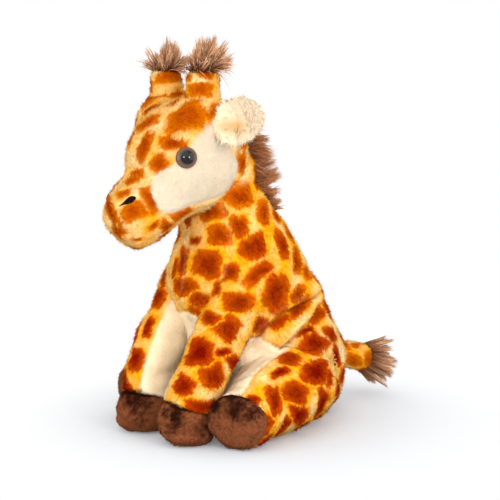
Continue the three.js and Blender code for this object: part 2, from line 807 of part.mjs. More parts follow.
const legRoom = bothSides(frontRoom).add(bothSides(hindRoom)).add(tailRoom);

// Cream panel down the front of the body, below the chest
const bellyShares = [
  [-0.16, 0.44], [0, 0.47], [0.16, 0.44], [0.24, 0.3], [0.2, 0.12], [0.1, 0.035], [-0.1, 0.035],
  [-0.2, 0.12], [-0.24, 0.3],
];

function bellyPrism(grow) {
  const corners = bellyShares.map(([out, up]) => vec(out * bodyWidth, 0, up * bodyHeight));
  const outline = smoothOutline(corners, 3, grow);
  const ringAt = (y) => outline.map((p) => vec(p.x, y, p.z));
  return toSolid(loft([ringAt(-bodyDepth), ringAt(0)]));
}

const bodyOuter = toSolid(bodyForm(0)).subtract(belowFloor);
const bodyInside = toSolid(bodyForm(-skinThickness, insideSides));
const fillingForm = toSolid(bodyForm(-skinThickness - seamGap, insideSides));
const skinFloor = halfSpace(vec(0, 0, skinThickness), vec(0, 0, -1));
const skin = bodyOuter.subtract(bodyInside.subtract(skinFloor)).subtract(legRoom);
const bodySkin = skin.subtract(bellyPrism(seamGap));
const bellyPanel = skin.intersect(bellyPrism(0));

const pelletBackShare = 0.36;
const pelletRiseShare = 0.3;
const pelletFullShare = 1.4;
const pelletFloor = skinThickness + seamGap;
const pelletMiddle = vec(0, bodyDepth * pelletBackShare, pelletFloor + pelletBagHeight * pelletRiseShare);

function pelletBagForm(grow) {
  const shape = new THREE.SphereGeometry(1, insideSides, insideSides / 2);
  const fullHeight = pelletBagHeight * pelletFullShare;
  const [x, y, z] = [pelletBagWidth, pelletBagDepth, fullHeight].map((size) => size / 2 + grow);
  const matrix = new THREE.Matrix4().makeTranslation(pelletMiddle.x, pelletMiddle.y, pelletMiddle.z);
  return toSolid(moved(shape, matrix.multiply(new THREE.Matrix4().makeScale(x, y, z))));
}

const fillingRoom = (() => {
  const deep = skinThickness + swingGap;
  const legs = frontLegRoom(deep, fillingRoomSides, 2).add(hindLegRoom(deep, fillingRoomSides, 1));
  return bothSides(legs).add(toSolid(ball(tailRoot, tailRadius, tailSides, deep)));
})();
const fillingFloor = halfSpace(vec(0, 0, pelletFloor), vec(0, 0, -1));
const fillingSpace = fillingForm.subtract(fillingFloor);
const bodyFilling = fillingSpace.subtract(fillingRoom).subtract(pelletBagForm(seamGap));
const pelletBag = pelletBagForm(0).subtract(fillingFloor).intersect(fillingForm).subtract(fillingRoom);

// Head pieces
const headWhole = toSolid(headForm(0));
const headGrown = toSolid(headForm(seamGap));
const patchFloor = toSolid(headForm(-patchThickness));
const patchBed = toSolid(headForm(-patchThickness - seamGap));
const eyeRoom = eyeSolid(seamGap).add(eyeWasher(seamGap));
const earRoom = toSolid(earRootBead(swingGap)).add(earFan());
const cheekWhole = headWhole.intersect(cheekPrism(0)).subtract(patchFloor);
const cheekPatch = cheekWhole.subtract(eyeSolid(seamGap)).subtract(neckRoom).subtract(earRoom);
const cheekRoom = cheekPrism(seamGap).subtract(patchBed);
const head = headWhole.subtract(neckRoom).subtract(bothSides(cheekRoom.add(eyeRoom).add(earRoom)));

const earOuter = joinAll(earOuterForms(0).map(toSolid));
const earLining = toSolid(earLeaf(earLiningStartShare, earMargin, 0, earLiningThickness, 0));

const horn = hornForm().subtract(headGrown).subtract(earRoom);
const tuft = hornTuft().subtract(headGrown);

// The mane runs over the back of the head, then down the back of the neck
const upperManeShares = [[0.06, 1], [0.02, 1], [0, 1], [0.015, -1], [0.035, -1]];
const upperManePoints = upperManeShares.map(([share, side]) => headSurface(share, (Math.PI / 2) * side));
const maneTopHeight = neckPivot.z - maneTopDrop;
const lowerManeShares = [0, 0.066, 0.132, 0.2];
const lowerManePoints = lowerManeShares.map((share) => {
  return bodySurface(maneTopHeight - share * bodyHeight, 0, false);
});
const upperMane = maneRow(upperManePoints, maneUpperLocks).subtract(headGrown).subtract(neckRoom);
const bodyGrown = toSolid(bodyForm(seamGap));
const lowerManeWhole = maneRow(lowerManePoints, maneLowerLocks).subtract(bodyGrown);

// Limbs, cut at their hooves
const frontSolid = joinAll(frontLegForms(0).map(toSolid)).subtract(belowFloor);
const [frontShin, frontToe] = frontLegLine().slice(-2);
const frontTangent = frontToe.sub(frontShin).normalize();
const frontCut = vec(frontHoof.x, frontHoof.y, frontHoofHeight);
const frontLeg = frontSolid.subtract(halfSpace(frontCut, frontTangent));
const frontHoofCut = frontCut.clone().addScaledVector(frontTangent, seamGap);
const frontHoofSolid = frontSolid.intersect(halfSpace(frontHoofCut, frontTangent));

const hindSolid = joinAll(hindLegForms(0).map(toSolid)).subtract(belowFloor);
const hindTangent = hindHoof.clone().sub(hip).setZ(0).normalize();
const hindCut = hindHoof.clone().addScaledVector(hindTangent, -hindHoofLength);
const hindLeg = hindSolid.subtract(halfSpace(hindCut, hindTangent));
const hindHoofCut = hindCut.clone().addScaledVector(hindTangent, seamGap);
const hindHoofSolid = hindSolid.intersect(halfSpace(hindHoofCut, hindTangent));

const tail = joinAll(tailForms(0).map(toSolid));
const tailGrown = joinAll(tailForms(seamGap).map(toSolid));
const tailTuftBaseShare = 0.7;
const tailTuftBaseSides = 12;
const tailTuftSpreadDegrees = 42;
const tailTuftUnevenShare = 0.14;
const tailTuftDroopShare = 0.16;

function tailTuft() {
  const back = tailEnd.clone().sub(tailRoot).normalize();
  const spin = new THREE.Quaternion().setFromUnitVectors(axisZ, back);
  const base = toSolid(ball(tailEnd, tailRadius * tailTuftBaseShare, tailTuftBaseSides, 0));
  const locks = capDirections(tailTuftLocks, tailTuftSpreadDegrees).map((direction, i) => {
    const aim = direction.clone().applyQuaternion(spin);
    const length = tailTuftLength * uneven(i, 2.1, tailTuftUnevenShare);
    return lock(tailEnd, aim, vec(0, 0, -tailTuftDroopShare), length, lockRadius);
  });
  return joinAll([base, ...locks]).subtract(tailGrown).subtract(belowFloor);
}

// Colours and finishes
const finishes = {
  spottedPlush: new THREE.MeshStandardMaterial({ color: 0xd8781c, roughness: 0.95, metalness: 0 }),
  creamPlush: new THREE.MeshStandardMaterial({ color: 0xefe2c6, roughness: 0.95, metalness: 0 }),
  brownPlush: new THREE.MeshStandardMaterial({ color: 0x5a3624, roughness: 0.95, metalness: 0 }),
  yarn: new THREE.MeshStandardMaterial({ color: 0x9a6a4c, roughness: 0.9, metalness: 0 }),
  eyePlastic: new THREE.MeshStandardMaterial({ color: 0x2a1a12, roughness: 0.1, metalness: 0 }),
  washerPlastic: new THREE.MeshStandardMaterial({ color: 0xe8e8e4, roughness: 0.5, metalness: 0 }),
  fibre: new THREE.MeshStandardMaterial({ color: 0xf4f4f2, roughness: 1, metalness: 0 }),
  bagCloth: new THREE.MeshStandardMaterial({ color: 0xd9d9d9, roughness: 0.9, metalness: 0 }),
};

const giraffe = new THREE.Group();

function addPiece(parent, name, solid, finish) {
  const mesh = new THREE.Mesh(toGeometry(solid), finishes[finish]);
  mesh.name = name;
  parent.add(mesh);
}

function addPair(parent, name, solid, finish) {
  addPiece(parent, `${name}_left`, solid, finish);
  addPiece(parent, `${name}_right`, toSolid(mirrored(toGeometry(solid))), finish);
}

const bodyGroup = new THREE.Group();
addPiece(bodyGroup, 'body_skin', bodySkin, 'spottedPlush');
addPiece(bodyGroup, 'belly_panel', bellyPanel, 'creamPlush');
addPiece(bodyGroup, 'body_filling', bodyFilling, 'fibre');
addPiece(bodyGroup, 'pellet_bag', pelletBag, 'bagCloth');
addPiece(bodyGroup, 'neck_mane', lowerManeWhole, 'yarn');

const headGroup = new THREE.Group();
addPiece(headGroup, 'head', head, 'spottedPlush');
addPair(headGroup, 'cheek_patch', cheekPatch, 'creamPlush');
addPair(headGroup, 'eye', eyeSolid(0), 'eyePlastic');
addPair(headGroup, 'eye_washer', eyeWasher(0), 'washerPlastic');
addPair(headGroup, 'horn', horn, 'spottedPlush');
addPair(headGroup, 'horn_tuft', tuft, 'yarn');
addPiece(headGroup, 'head_mane', upperMane, 'yarn');
addPair(headGroup, 'ear_outer', earOuter, 'spottedPlush');
addPair(headGroup, 'ear_lining', earLining, 'creamPlush');

const limbGroup = new THREE.Group();
addPair(limbGroup, 'front_leg', frontLeg, 'spottedPlush');
addPair(limbGroup, 'front_hoof', frontHoofSolid, 'brownPlush');
addPair(limbGroup, 'hind_leg', hindLeg, 'spottedPlush');
addPair(limbGroup, 'hind_hoof', hindHoofSolid, 'brownPlush');
addPiece(limbGroup, 'tail', tail, 'spottedPlush');
addPiece(limbGroup, 'tail_tuft', tailTuft(), 'yarn');

giraffe.add(bodyGroup, headGroup, limbGroup);

export default giraffe;
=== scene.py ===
import json
import math

import bpy
import numpy as np
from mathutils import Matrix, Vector
from mathutils.bvhtree import BVHTree


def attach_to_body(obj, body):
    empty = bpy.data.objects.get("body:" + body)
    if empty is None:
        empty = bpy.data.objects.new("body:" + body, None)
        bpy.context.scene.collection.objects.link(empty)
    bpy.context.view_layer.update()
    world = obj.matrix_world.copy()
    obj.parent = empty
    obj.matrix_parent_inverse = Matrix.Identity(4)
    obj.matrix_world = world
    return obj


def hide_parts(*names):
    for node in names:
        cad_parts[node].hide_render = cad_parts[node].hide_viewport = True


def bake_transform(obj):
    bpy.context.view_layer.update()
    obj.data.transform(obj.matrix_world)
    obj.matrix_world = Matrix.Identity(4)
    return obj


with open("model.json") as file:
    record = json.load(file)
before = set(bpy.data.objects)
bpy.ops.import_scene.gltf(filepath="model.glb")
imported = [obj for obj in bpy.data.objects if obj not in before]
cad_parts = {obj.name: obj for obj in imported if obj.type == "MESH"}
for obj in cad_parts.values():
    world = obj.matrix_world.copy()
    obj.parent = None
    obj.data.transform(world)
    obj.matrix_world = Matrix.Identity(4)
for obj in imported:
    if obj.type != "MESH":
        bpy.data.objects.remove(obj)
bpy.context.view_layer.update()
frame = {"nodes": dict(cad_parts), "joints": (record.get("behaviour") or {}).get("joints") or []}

MM = 0.001
TAU = math.tau
X_AXIS, Y_AXIS, Z_AXIS = np.eye(3)
JOINTS = {joint["name"]: np.array(joint["pos_m"]) / MM for joint in frame["joints"]}
MIRROR = np.array([-1.0, 1.0, 1.0])

# Camera, in millimetres, for a picture of 500 by 500 pixels
PICTURE_SIZE = 500
CAMERA_PLACE = np.array([702.0, -599.0, 235.0])
CAMERA_AIM = np.array([36.0, -40.0, 120.0])
CAMERA_LENS = 101.0
CAMERA_SENSOR = 36.0

# Sizes of the stuffed forms, in millimetres
BODY_SIZE = (88.0, 105.0, 160.0)
NECK_RADIUS = 27.0
HEAD_SIZE = (63.0, 116.0, 76.0)
HEAD_PITCH = math.radians(34.5)
HEAD_BEHIND = 10.0
HEAD_ABOVE = 20.0
HEAD_BACK_SHARE = 0.271
FRONT_LEG_RADIUS = 16.0
SHOULDER_RADIUS = 16.5
HIND_LEG_RADIUS = 17.5
HIP_RADIUS = 28.5
TAIL_RADIUS = 8.6
HORN_RADIUS = 10.0
HORN_HEIGHT = 24.5

# Pile
PILE_LENGTH = 2.3
PILE_WIDTH = 0.38
PILE_PER_AREA = 2.7
STRANDS_PER_PIECE = 46000

# Rows: height, half width, back and front, as shares of the body's sizes
BODY_SHARES = [
    (0.0, 0.30, 0.39, -0.16),
    (0.012, 0.36, 0.45, -0.21),
    (0.055, 0.43, 0.535, -0.30),
    (0.11, 0.465, 0.575, -0.365),
    (0.19, 0.485, 0.60, -0.41),
    (0.28, 0.50, 0.58, -0.47),
    (0.41, 0.50, 0.475, -0.545),
    (0.50, 0.49, 0.405, -0.61),
    (0.575, 0.475, 0.345, -0.638),
    (0.65, 0.455, 0.29, -0.625),
    (0.72, 0.43, 0.245, -0.60),
    (0.80, 0.395, 0.19, -0.57),
    (0.87, 0.365, 0.125, -0.558),
    (0.94, 0.335, 0.02, -0.57),
    (1.0, 0.307, -0.076, -0.59),
]

# Rows: place along, top, bottom and half width, as shares of the head's sizes
HEAD_SHARES = [
    (0.0, -0.12, -0.15, 0.02),
    (0.009, 0.0, -0.263, 0.143),
    (0.035, 0.092, -0.368, 0.254),
    (0.079, 0.204, -0.447, 0.349),
    (0.148, 0.362, -0.50, 0.429),
    (0.218, 0.48, -0.50, 0.468),
    (0.323, 0.566, -0.467, 0.492),
    (0.428, 0.586, -0.408, 0.50),
    (0.515, 0.566, -0.355, 0.484),
    (0.594, 0.513, -0.302, 0.444),
    (0.655, 0.441, -0.274, 0.405),
    (0.707, 0.349, -0.26, 0.378),
    (0.769, 0.303, -0.254, 0.365),
    (0.83, 0.293, -0.25, 0.365),
    (0.891, 0.267, -0.23, 0.35),
    (0.943, 0.21, -0.188, 0.305),
    (0.978, 0.145, -0.145, 0.23),
    (1.0, 0.02, -0.02, 0.03),
]

# Outline of a cheek patch from the side: along and up shares of the head
CHEEK_SHARES = [
    (0.309, 0.35), (0.29, 0.13), (0.285, -0.02), (0.33, -0.14), (0.43, -0.224), (0.55, -0.17), (0.66, -0.09),
    (0.76, -0.035), (0.815, 0.05), (0.80, 0.16), (0.757, 0.22), (0.69, 0.27), (0.60, 0.285), (0.50, 0.32),
    (0.41, 0.36),
]

# Rows: place along, half width across and half height, as shares of the limb's radius
FRONT_LEG_SHARES = [(0.0, 0.9, 1.0), (0.3, 0.98, 1.1), (0.6, 1.0, 1.0), (0.86, 1.05, 1.05), (1.0, 1.04, 1.04)]
FRONT_HOOF_SHARES = [
    (0.0, 1.0, 1.0), (0.3, 1.1, 1.1), (0.62, 1.1, 1.1), (0.86, 0.97, 0.97), (1.0, 0.74, 0.74),
]

# Spots on the side that the camera sees: centre x and y, width, height and turn in degrees, in pixels
SPOTS_PX = {
    "head": [
        (186, 117, 44, 26, 22), (173, 144, 28, 13, -6), (159, 164, 18, 18, 30), (144, 147, 12, 31, -24),
        (146, 124, 27, 9, 32), (150, 110, 20, 6, 32), (174, 103, 15, 5, 32), (127, 147, 8, 18, -12),
        (137, 174, 12, 9, 10), (131, 181, 15, 7, 22), (150, 199, 12, 30, 20), (123, 194, 15, 7, 20),
        (133, 212, 25, 18, 28), (154, 226, 14, 6, 35), (110, 210, 9, 27, 8), (118, 232, 14, 12, -38),
        (166, 227, 10, 13, -40), (181, 214, 22, 9, 25), (213, 112, 9, 20, -35), (242, 164, 9, 20, -6),
        (251, 163, 7, 20, 14), (226, 141, 5, 12, 30), (240, 193, 28, 22, 14), (136, 240, 12, 3, 0),
    ],
    "horn": [
        (200, 90, 25, 14, -3), (206, 75, 16, 8, -15), (171, 76, 30, 12, 4), (177, 95, 11, 6, 20),
        (188, 78, 6, 6, 0),
    ],
    "body": [
        (261, 186, 8, 17, 12), (240, 196, 28, 22, 14), (263, 212, 13, 25, 6), (239, 226, 18, 22, 10),
        (277, 213, 6, 15, 20), (282, 244, 12, 30, 14), (254, 247, 26, 25, 20), (296, 260, 9, 26, 8),
        (306, 272, 7, 16, 20), (212, 211, 24, 18, 8), (220, 235, 25, 19, -6), (195, 240, 11, 8, -6),
        (188, 221, 8, 10, 10), (208, 264, 29, 28, -8), (231, 272, 17, 19, 6), (183, 262, 11, 28, -8),
        (175, 268, 5, 20, -12), (184, 286, 16, 18, 10), (199, 299, 20, 15, -24), (217, 288, 9, 17, -10),
        (258, 273, 35, 15, 42), (277, 293, 24, 37, -14), (298, 294, 13, 20, -28), (239, 302, 32, 19, -2),
        (228, 328, 25, 24, 40), (211, 318, 19, 15, -30), (260, 324, 15, 17, -18), (248, 343, 16, 11, 32),
        (200, 352, 25, 30, -12), (223, 352, 18, 9, 6), (236, 363, 13, 14, 35), (213, 376, 24, 25, 20),
        (184, 385, 20, 19, -34), (203, 406, 32, 13, 4), (281, 321, 22, 10, 36), (299, 308, 24, 11, 40),
        (316, 314, 22, 16, 40), (306, 330, 18, 7, 25), (331, 334, 11, 17, 30), (326, 302, 8, 20, 25),
        (315, 344, 25, 19, -32), (290, 358, 24, 16, -10), (316, 372, 24, 22, 4), (281, 372, 20, 9, 20),
        (275, 400, 15, 30, 16), (296, 393, 27, 20, -34), (254, 400, 14, 12, -30), (300, 415, 16, 18, -25),
        (322, 404, 13, 31, -16), (283, 427, 9, 26, -34), (336, 356, 8, 22, 0), (158, 297, 10, 22, -14),
        (148, 327, 9, 22, -14), (136, 359, 14, 22, -16), (122, 382, 9, 9, 0), (197, 311, 21, 7, -24),
        (330, 379, 7, 18, -10), (164, 277, 7, 18, -14),
    ],
    "tail": [(353, 360, 14, 12, -10), (368, 359, 8, 15, 0), (355, 345, 10, 5, 0)],
}

# Colours as they look on the fabric
COLOURS = {
    "pale": "#FFD898",
    "warm": "#FFAA14",
    "spot_edge": "#DA7200",
    "spot_core": "#B44400",
    "deep_edge": "#BA3E00",
    "deep_core": "#7A0C00",
    "cream": "#D4C4AC",
    # Cream of the belly and leg panels: painted light makes it lighter and warmer than the cheeks' cream,
    # where these panels lie in shade
    "panel": "#FFE7C2",
    # Cream of the ear linings: painted light makes it lighter than the cheeks' cream, where the ears lie in
    # shade
    "ear": "#F0D7B8",
    "cream_shade": "#DEC49A",
    # Painted shade in the hollow of the ear linings
    "hollow": "#D2AA74",
    # Painted shade in the creases of the folds
    "crease": "#8E3A06",
    "hoof": "#82492C",
    "hoof_dark": "#2A1008",
    "yarn": "#C48A60",
    # Painted shade at the roots of the yarn
    "yarn_root_shade": "#7E4A2E",
    "yarn_tip": "#F0C8A0",
    "thread": "#D9A050",
    "nostril_dark": "#0B0605",
    "nostril_light": "#1C100B",
    "nostril_end": "#4A2410",
    "pupil": "#080606",
    "iris_dark": "#3E2C24",
    "iris_light": "#7E5E50",
    "iris_rim": "#1E120E",
}


def linear(code):
    """Linear colour of a written one."""
    values = np.array([int(code[i : i + 2], 16) / 255 for i in (1, 3, 5)])
    return np.where(values <= 0.04045, values / 12.92, ((values + 0.055) / 1.055) ** 2.4)


COLOURS = {name: linear(code) for name, code in COLOURS.items()}


# Small maths


def unit(vectors):
    lengths = np.linalg.norm(vectors, axis=-1, keepdims=True)
    return vectors / np.maximum(lengths, 1e-9)


def smooth_step(low, high, values):
    t = np.clip((values - low) / (high - low), 0, 1)
    return t * t * (3 - 2 * t)


def mix(a, b, share):
    return a + (b - a) * np.asarray(share)[..., None]


def waves(points, size, seed, count=12):
    """Smooth noise about zero, with bumps of about that size in millimetres."""
    rng = np.random.default_rng(seed)
    rates = TAU / size * rng.uniform(0.6, 1.6, count)
    directions = unit(rng.normal(size=(count, 3))) * rates[:, None]
    phases = rng.uniform(0, TAU, count)
    return np.sin(points @ directions.T + phases).sum(axis=1) / math.sqrt(count / 2)


def layered_waves(points, layers, seed, start=0):
    """Smooth noise in layers, each with its share and the size of its bumps, added to a start."""
    return sum((share * waves(points, size, seed + i) for i, (share, size) in enumerate(layers)), start)


def bell(distances, width):
    """1 at no distance, fading to 0 over about twice that width."""
    return np.exp(-((distances / width) ** 2))


def table_values(table, places):
    """Smooth values of a table's columns at places in its first column."""
    table = np.asarray(table, float)
    x, y = table[:, 0], table[:, 1:]
    places = np.clip(np.asarray(places, float), x[0], x[-1])
    i = np.clip(np.searchsorted(x, places, side="right") - 1, 0, len(x) - 2)
    before, after = np.maximum(i - 1, 0), np.minimum(i + 2, len(x) - 1)
    span = x[i + 1] - x[i]
    t = ((places - x[i]) / span)[:, None]
    slope_low = (y[i + 1] - y[before]) * (span / (x[i + 1] - x[before]))[:, None]
    slope_high = (y[after] - y[i]) * (span / (x[after] - x[i]))[:, None]
    t2, t3 = t * t, t * t * t
    low = (2 * t3 - 3 * t2 + 1) * y[i] + (t3 - 2 * t2 + t) * slope_low
    return low + (3 * t2 - 2 * t3) * y[i + 1] + (t3 - t2) * slope_high


def smooth_line(corners, places, step=0.002):
    """Points and directions of a smooth line through corners, at places from 0 to 1."""
    corners = np.asarray(corners, float)
    table = np.column_stack([np.linspace(0, 1, len(corners)), corners])
    ahead = table_values(table, np.minimum(places + step, 1))
    behind = table_values(table, np.maximum(places - step, 0))
    return table_values(table, places), unit(ahead - behind)


def line_distance(points, line):
    """Distance of points to a line of short straight edges."""
    nearest = np.full(len(points), 1e9)
    for a, b in zip(line[:-1], line[1:]):
        edge = b - a
        share = np.clip(((points - a) @ edge) / max(edge @ edge, 1e-9), 0, 1)
        nearest = np.minimum(nearest, np.linalg.norm(points - a - share[:, None] * edge, axis=1))
    return nearest


def outline_distance(points, outline):
    """Signed distance of flat points to a closed outline, above zero inside it."""
    inside = np.zeros(len(points), bool)
    x, y = points.T
    for a, b in zip(outline, np.roll(outline, -1, axis=0)):
        crosses = (a[1] > y) != (b[1] > y)
        rise = b[1] - a[1] if b[1] != a[1] else 1e-9
        inside ^= crosses & (x < a[0] + (y - a[1]) * (b[0] - a[0]) / rise)
    nearest = line_distance(points, np.vstack([outline, outline[:1]]))
    return np.where(inside, nearest, -nearest)


def smooth_loop(corners, count):
    """A closed smooth outline through corners."""
    corners = np.asarray(corners, float)
    ring = np.vstack([corners[-2:], corners, corners[:3]])
    table = np.column_stack([np.arange(len(ring)) - 2.0, ring])
    return table_values(table, np.linspace(0, len(corners), count, endpoint=False))


# Forms


def flipped(faces):
    """The same faces, seen from their other side."""
    return [f[:, ::-1].copy() for f in faces]


class Form:
    """A closed mesh in millimetres. It knows where its points lie along and round the loft."""

    def __init__(self, points, faces, along, turn):
        self.points = points
        self.faces = faces
        self.along = along
        self.turn = turn
        self.comb = None
        self.tint = None
        self.pile = np.ones(len(points))
        # pale: the seams' paler pile, and the painted highlight on the edges of folds; shade: painted shade
        # in the creases of folds
        self.pale = np.zeros(len(points))
        self.shade = np.zeros(len(points))

    def triangles(self):
        parts = [f if f.shape[1] == 3 else np.vstack([f[:, [0, 1, 2]], f[:, [0, 2, 3]]]) for f in self.faces]
        return np.vstack(parts)

    def corners(self):
        """The three corners of every triangle."""
        return [self.points[column] for column in self.triangles().T]

    def normals(self):
        a, b, c = self.corners()
        normal = np.cross(b - a, c - a)
        total = np.zeros_like(self.points)
        for column in self.triangles().T:
            np.add.at(total, column, normal)
        return unit(total)

    def tree(self):
        return BVHTree.FromPolygons(self.points.tolist(), self.triangles().tolist())

    def mirrored(self):
        """The form on the other side, as it is before seams are drawn into it."""
        other = Form(self.points * MIRROR, flipped(self.faces), self.along, self.turn)
        other.comb = self.comb * MIRROR
        other.tint = self.tint
        return other

    def push(self, amounts):
        """Moves each point outwards by its amount."""
        self.points = self.points + self.normals() * np.asarray(amounts)[:, None]

    def stand(self):
        """Flattens what reaches below the ground."""
        self.points[:, 2] = np.maximum(self.points[:, 2], 0.0)


def loft(rings, places):
    """A closed form through rings of points, each end closed to its middle."""
    rows, sides = rings.shape[:2]
    lap = np.arange(sides)
    ahead = (lap + 1) % sides
    start = (np.arange(rows - 1) * sides)[:, None]
    a, b = start + lap, start + ahead
    quads = np.stack([a, b, b + sides, a + sides], axis=-1).reshape(-1, 4)
    ends = np.array([rings[0].mean(axis=0), rings[-1].mean(axis=0)])
    count = rows * sides
    last_ring = count - sides
    first = np.column_stack([np.full(sides, count), ahead, lap])
    last = np.column_stack([np.full(sides, count + 1), last_ring + lap, last_ring + ahead])
    along = np.append(np.repeat(places, sides), [places[0], places[-1]])
    turn = np.append(np.tile(lap * TAU / sides, rows), [0, 0])
    points = np.vstack([rings.reshape(-1, 3), ends])
    form = Form(points, [quads, np.vstack([first, last])], along, turn)
    corners = form.corners()
    if np.einsum("ij,ij->i", corners[0], np.cross(corners[1], corners[2])).sum() < 0:
        form.faces = flipped(form.faces)
    forward = np.zeros_like(rings)
    forward[:-1] = rings[1:] - rings[:-1]
    forward[-1] = forward[-2]
    form.comb = unit(np.vstack([forward.reshape(-1, 3), forward[0].mean(axis=0), forward[-1].mean(axis=0)]))
    return form


def oval_rings(middles, across, up, sides):
    """Rings of points round middles, with the reach of each to the side and up."""
    turns = np.arange(sides) * TAU / sides
    swing = across[:, None, :] * np.cos(turns)[None, :, None] + up[:, None, :] * np.sin(turns)[None, :, None]
    return middles[:, None, :] + swing


def limb(corners, radius, shares, sides, rows, ball, tip):
    """A stuffed tube along a smooth line, with a round start and a soft round tip."""
    places = np.linspace(0, 1, rows)
    middles, tangents = smooth_line(corners, places)
    across = unit(X_AXIS - tangents * tangents[:, :1])
    up = np.cross(tangents, across)
    wide, high = table_values(shares, places).T * radius
    dome = np.linspace(0, math.pi / 2, 12)[1:]

    def cap(end, direction, reach, power):
        """Rings that round off one end, from its edge to its middle."""
        squeeze = np.maximum(np.cos(dome) ** power, 0.02)[:, None]
        return oval_rings(middles[end] + np.sin(dome)[:, None] * reach * direction,
                          across[end] * squeeze * wide[end], up[end] * squeeze * high[end], sides)

    start = cap(0, -tangents[0], ball, 1.0)[::-1]
    tube = oval_rings(middles, across * wide[:, None], up * high[:, None], sides)
    end = cap(-1, tangents[-1], tip, 0.8)
    along = [-np.sin(dome)[::-1] * ball / radius, places, 1 + np.sin(dome) * tip / radius]
    return loft(np.concatenate([start, tube, end]), np.concatenate(along))


def signed_distance(tree, points):
    """Distance to a closed form, below zero inside it."""
    result = np.empty(len(points))
    for i, point in enumerate(points):
        place, normal, _, distance = tree.find_nearest(point)
        result[i] = distance if (Vector(point) - place).dot(normal) > 0 else -distance
    return result


def soften_crease(form, tree, reach, share=1.0):
    """Fills the crease where a form meets its neighbour with a soft round of that reach."""
    near = np.clip(1 - np.abs(signed_distance(tree, form.points)) / reach, 0, 1)
    form.push(near * near * reach / 4 * share)


# Body and neck

BODY_SIDES = 216
NECK_PIVOT = JOINTS["head_nod"]


def body_form():
    width, depth, height = BODY_SIZE
    shares = np.concatenate([np.linspace(0, 0.05, 8)[:-1], np.linspace(0.05, 1, 128)])
    half, back, front = table_values(BODY_SHARES, shares).T
    middles = np.column_stack([np.zeros(len(shares)), (back + front) / 2 * depth, shares * height])
    deep = ((back - front) / 2 * depth)[:, None]
    rings = oval_rings(middles, half[:, None] * width * X_AXIS, deep * Y_AXIS, BODY_SIDES)
    turns = np.linspace(0, math.pi / 2, 10)[1:]
    tops = NECK_PIVOT + np.sin(turns)[:, None] * NECK_RADIUS * Z_AXIS
    size = np.maximum(np.cos(turns), 0.02)[:, None] * NECK_RADIUS
    dome = oval_rings(tops, size * X_AXIS, size * Y_AXIS, BODY_SIDES)
    form = loft(np.concatenate([rings, dome]), np.concatenate([shares, 1 + np.sin(turns) * 0.15]))
    form.comb = -form.comb
    return form


# Head

HEAD_ALONG = np.array([0, -math.cos(HEAD_PITCH), -math.sin(HEAD_PITCH)])
HEAD_UP = np.array([0, -math.sin(HEAD_PITCH), math.cos(HEAD_PITCH)])
HEAD_MIDDLE = NECK_PIVOT + np.array([0, -HEAD_BEHIND, HEAD_ABOVE])
HEAD_START = HEAD_MIDDLE - HEAD_ALONG * HEAD_SIZE[1] * HEAD_BACK_SHARE
HEAD_SIDES = 150


def head_surface(places, turns):
    """Points of the head: shares along, and how far round from the left side."""
    top, bottom, half = table_values(HEAD_SHARES, np.atleast_1d(places)).T
    middle = HEAD_START + np.atleast_1d(places)[:, None] * HEAD_SIZE[1] * HEAD_ALONG
    middle = middle + ((top + bottom) / 2 * HEAD_SIZE[2])[:, None] * HEAD_UP
    wide = (half * HEAD_SIZE[0] * np.cos(turns))[:, None] * X_AXIS
    return middle + wide + ((top - bottom) / 2 * HEAD_SIZE[2] * np.sin(turns))[:, None] * HEAD_UP


def head_form():
    slide = np.linspace(0, 1, 106)
    places = smooth_step(0, 1, slide) * 0.35 + slide * 0.65
    turns = np.arange(HEAD_SIDES) * TAU / HEAD_SIDES
    rings = np.array([head_surface(np.full(HEAD_SIDES, place), turns) for place in places])
    form = loft(rings, places)
    form.comb = -form.comb
    return form


def cheek_distance(points):
    """How far inside a cheek patch each point lies, in millimetres."""
    flat = np.column_stack([(points - HEAD_START) @ HEAD_ALONG, (points - HEAD_START) @ HEAD_UP])
    outline = smooth_loop(CHEEK_SHARES, 90) * np.array([HEAD_SIZE[1], HEAD_SIZE[2]])
    return np.where(np.abs(points[:, 0]) > HEAD_SIZE[0] * 0.125, outline_distance(flat, outline), -20.0)


# Legs and tail

SHOULDER = JOINTS["front_leg_left_lift"]
HIP = JOINTS["hind_leg_left_lift"]
FRONT_TOE = np.array([21.5, -81.0, 0.0])
FRONT_BEND_SHARES = [(0, 0, 0), (0.3, 0.55, 0.35), (0.72, 0.9, 0.7), (1, 1, 1)]
FRONT_HOOF_PLACE = 0.685
HIND_SOLE = np.array([57.0, -70.0, 17.0])
HIND_BEND_SHARES = [(0, 0, 0), (0.3, 0.4, 0.22), (0.6, 0.72, 0.75), (1, 1, 1)]
HIND_SHARES = [
    (0.0, 1.5, 1.5), (0.2, 1.5, 1.5), (0.4, 1.4, 1.4), (0.58, 1.22, 1.22), (0.75, 1.07, 1.07),
    (0.88, 1.0, 1.0),
]
HIND_HOOF_SHARES = [(0, 1.03, 1.03), (0.35, 1.08, 1.08), (0.75, 1.04, 1.04), (1, 0.9, 0.9)]
HIND_HOOF_PLACE = 0.87
TAIL_SHARES = [(0, 1, 1), (0.5, 1.04, 1.04), (0.86, 1.08, 1.08), (1, 0.8, 0.8)]
TAIL_ROOT = JOINTS["tail_wag"]
TAIL_LENGTH = 44.0
TAIL_DROP = 7.0
TAIL_IN_TUFT = 6.0
TAIL_END = TAIL_ROOT + np.array([0, TAIL_LENGTH - TAIL_IN_TUFT, -TAIL_DROP])


def bent_line(start, end, shares):
    return [start + (end - start) * np.array(share) for share in shares]


def part_of_line(corners, first, last, count=9):
    """Corners of one stretch of a smooth line."""
    return smooth_line(corners, np.linspace(first, last, count))[0]


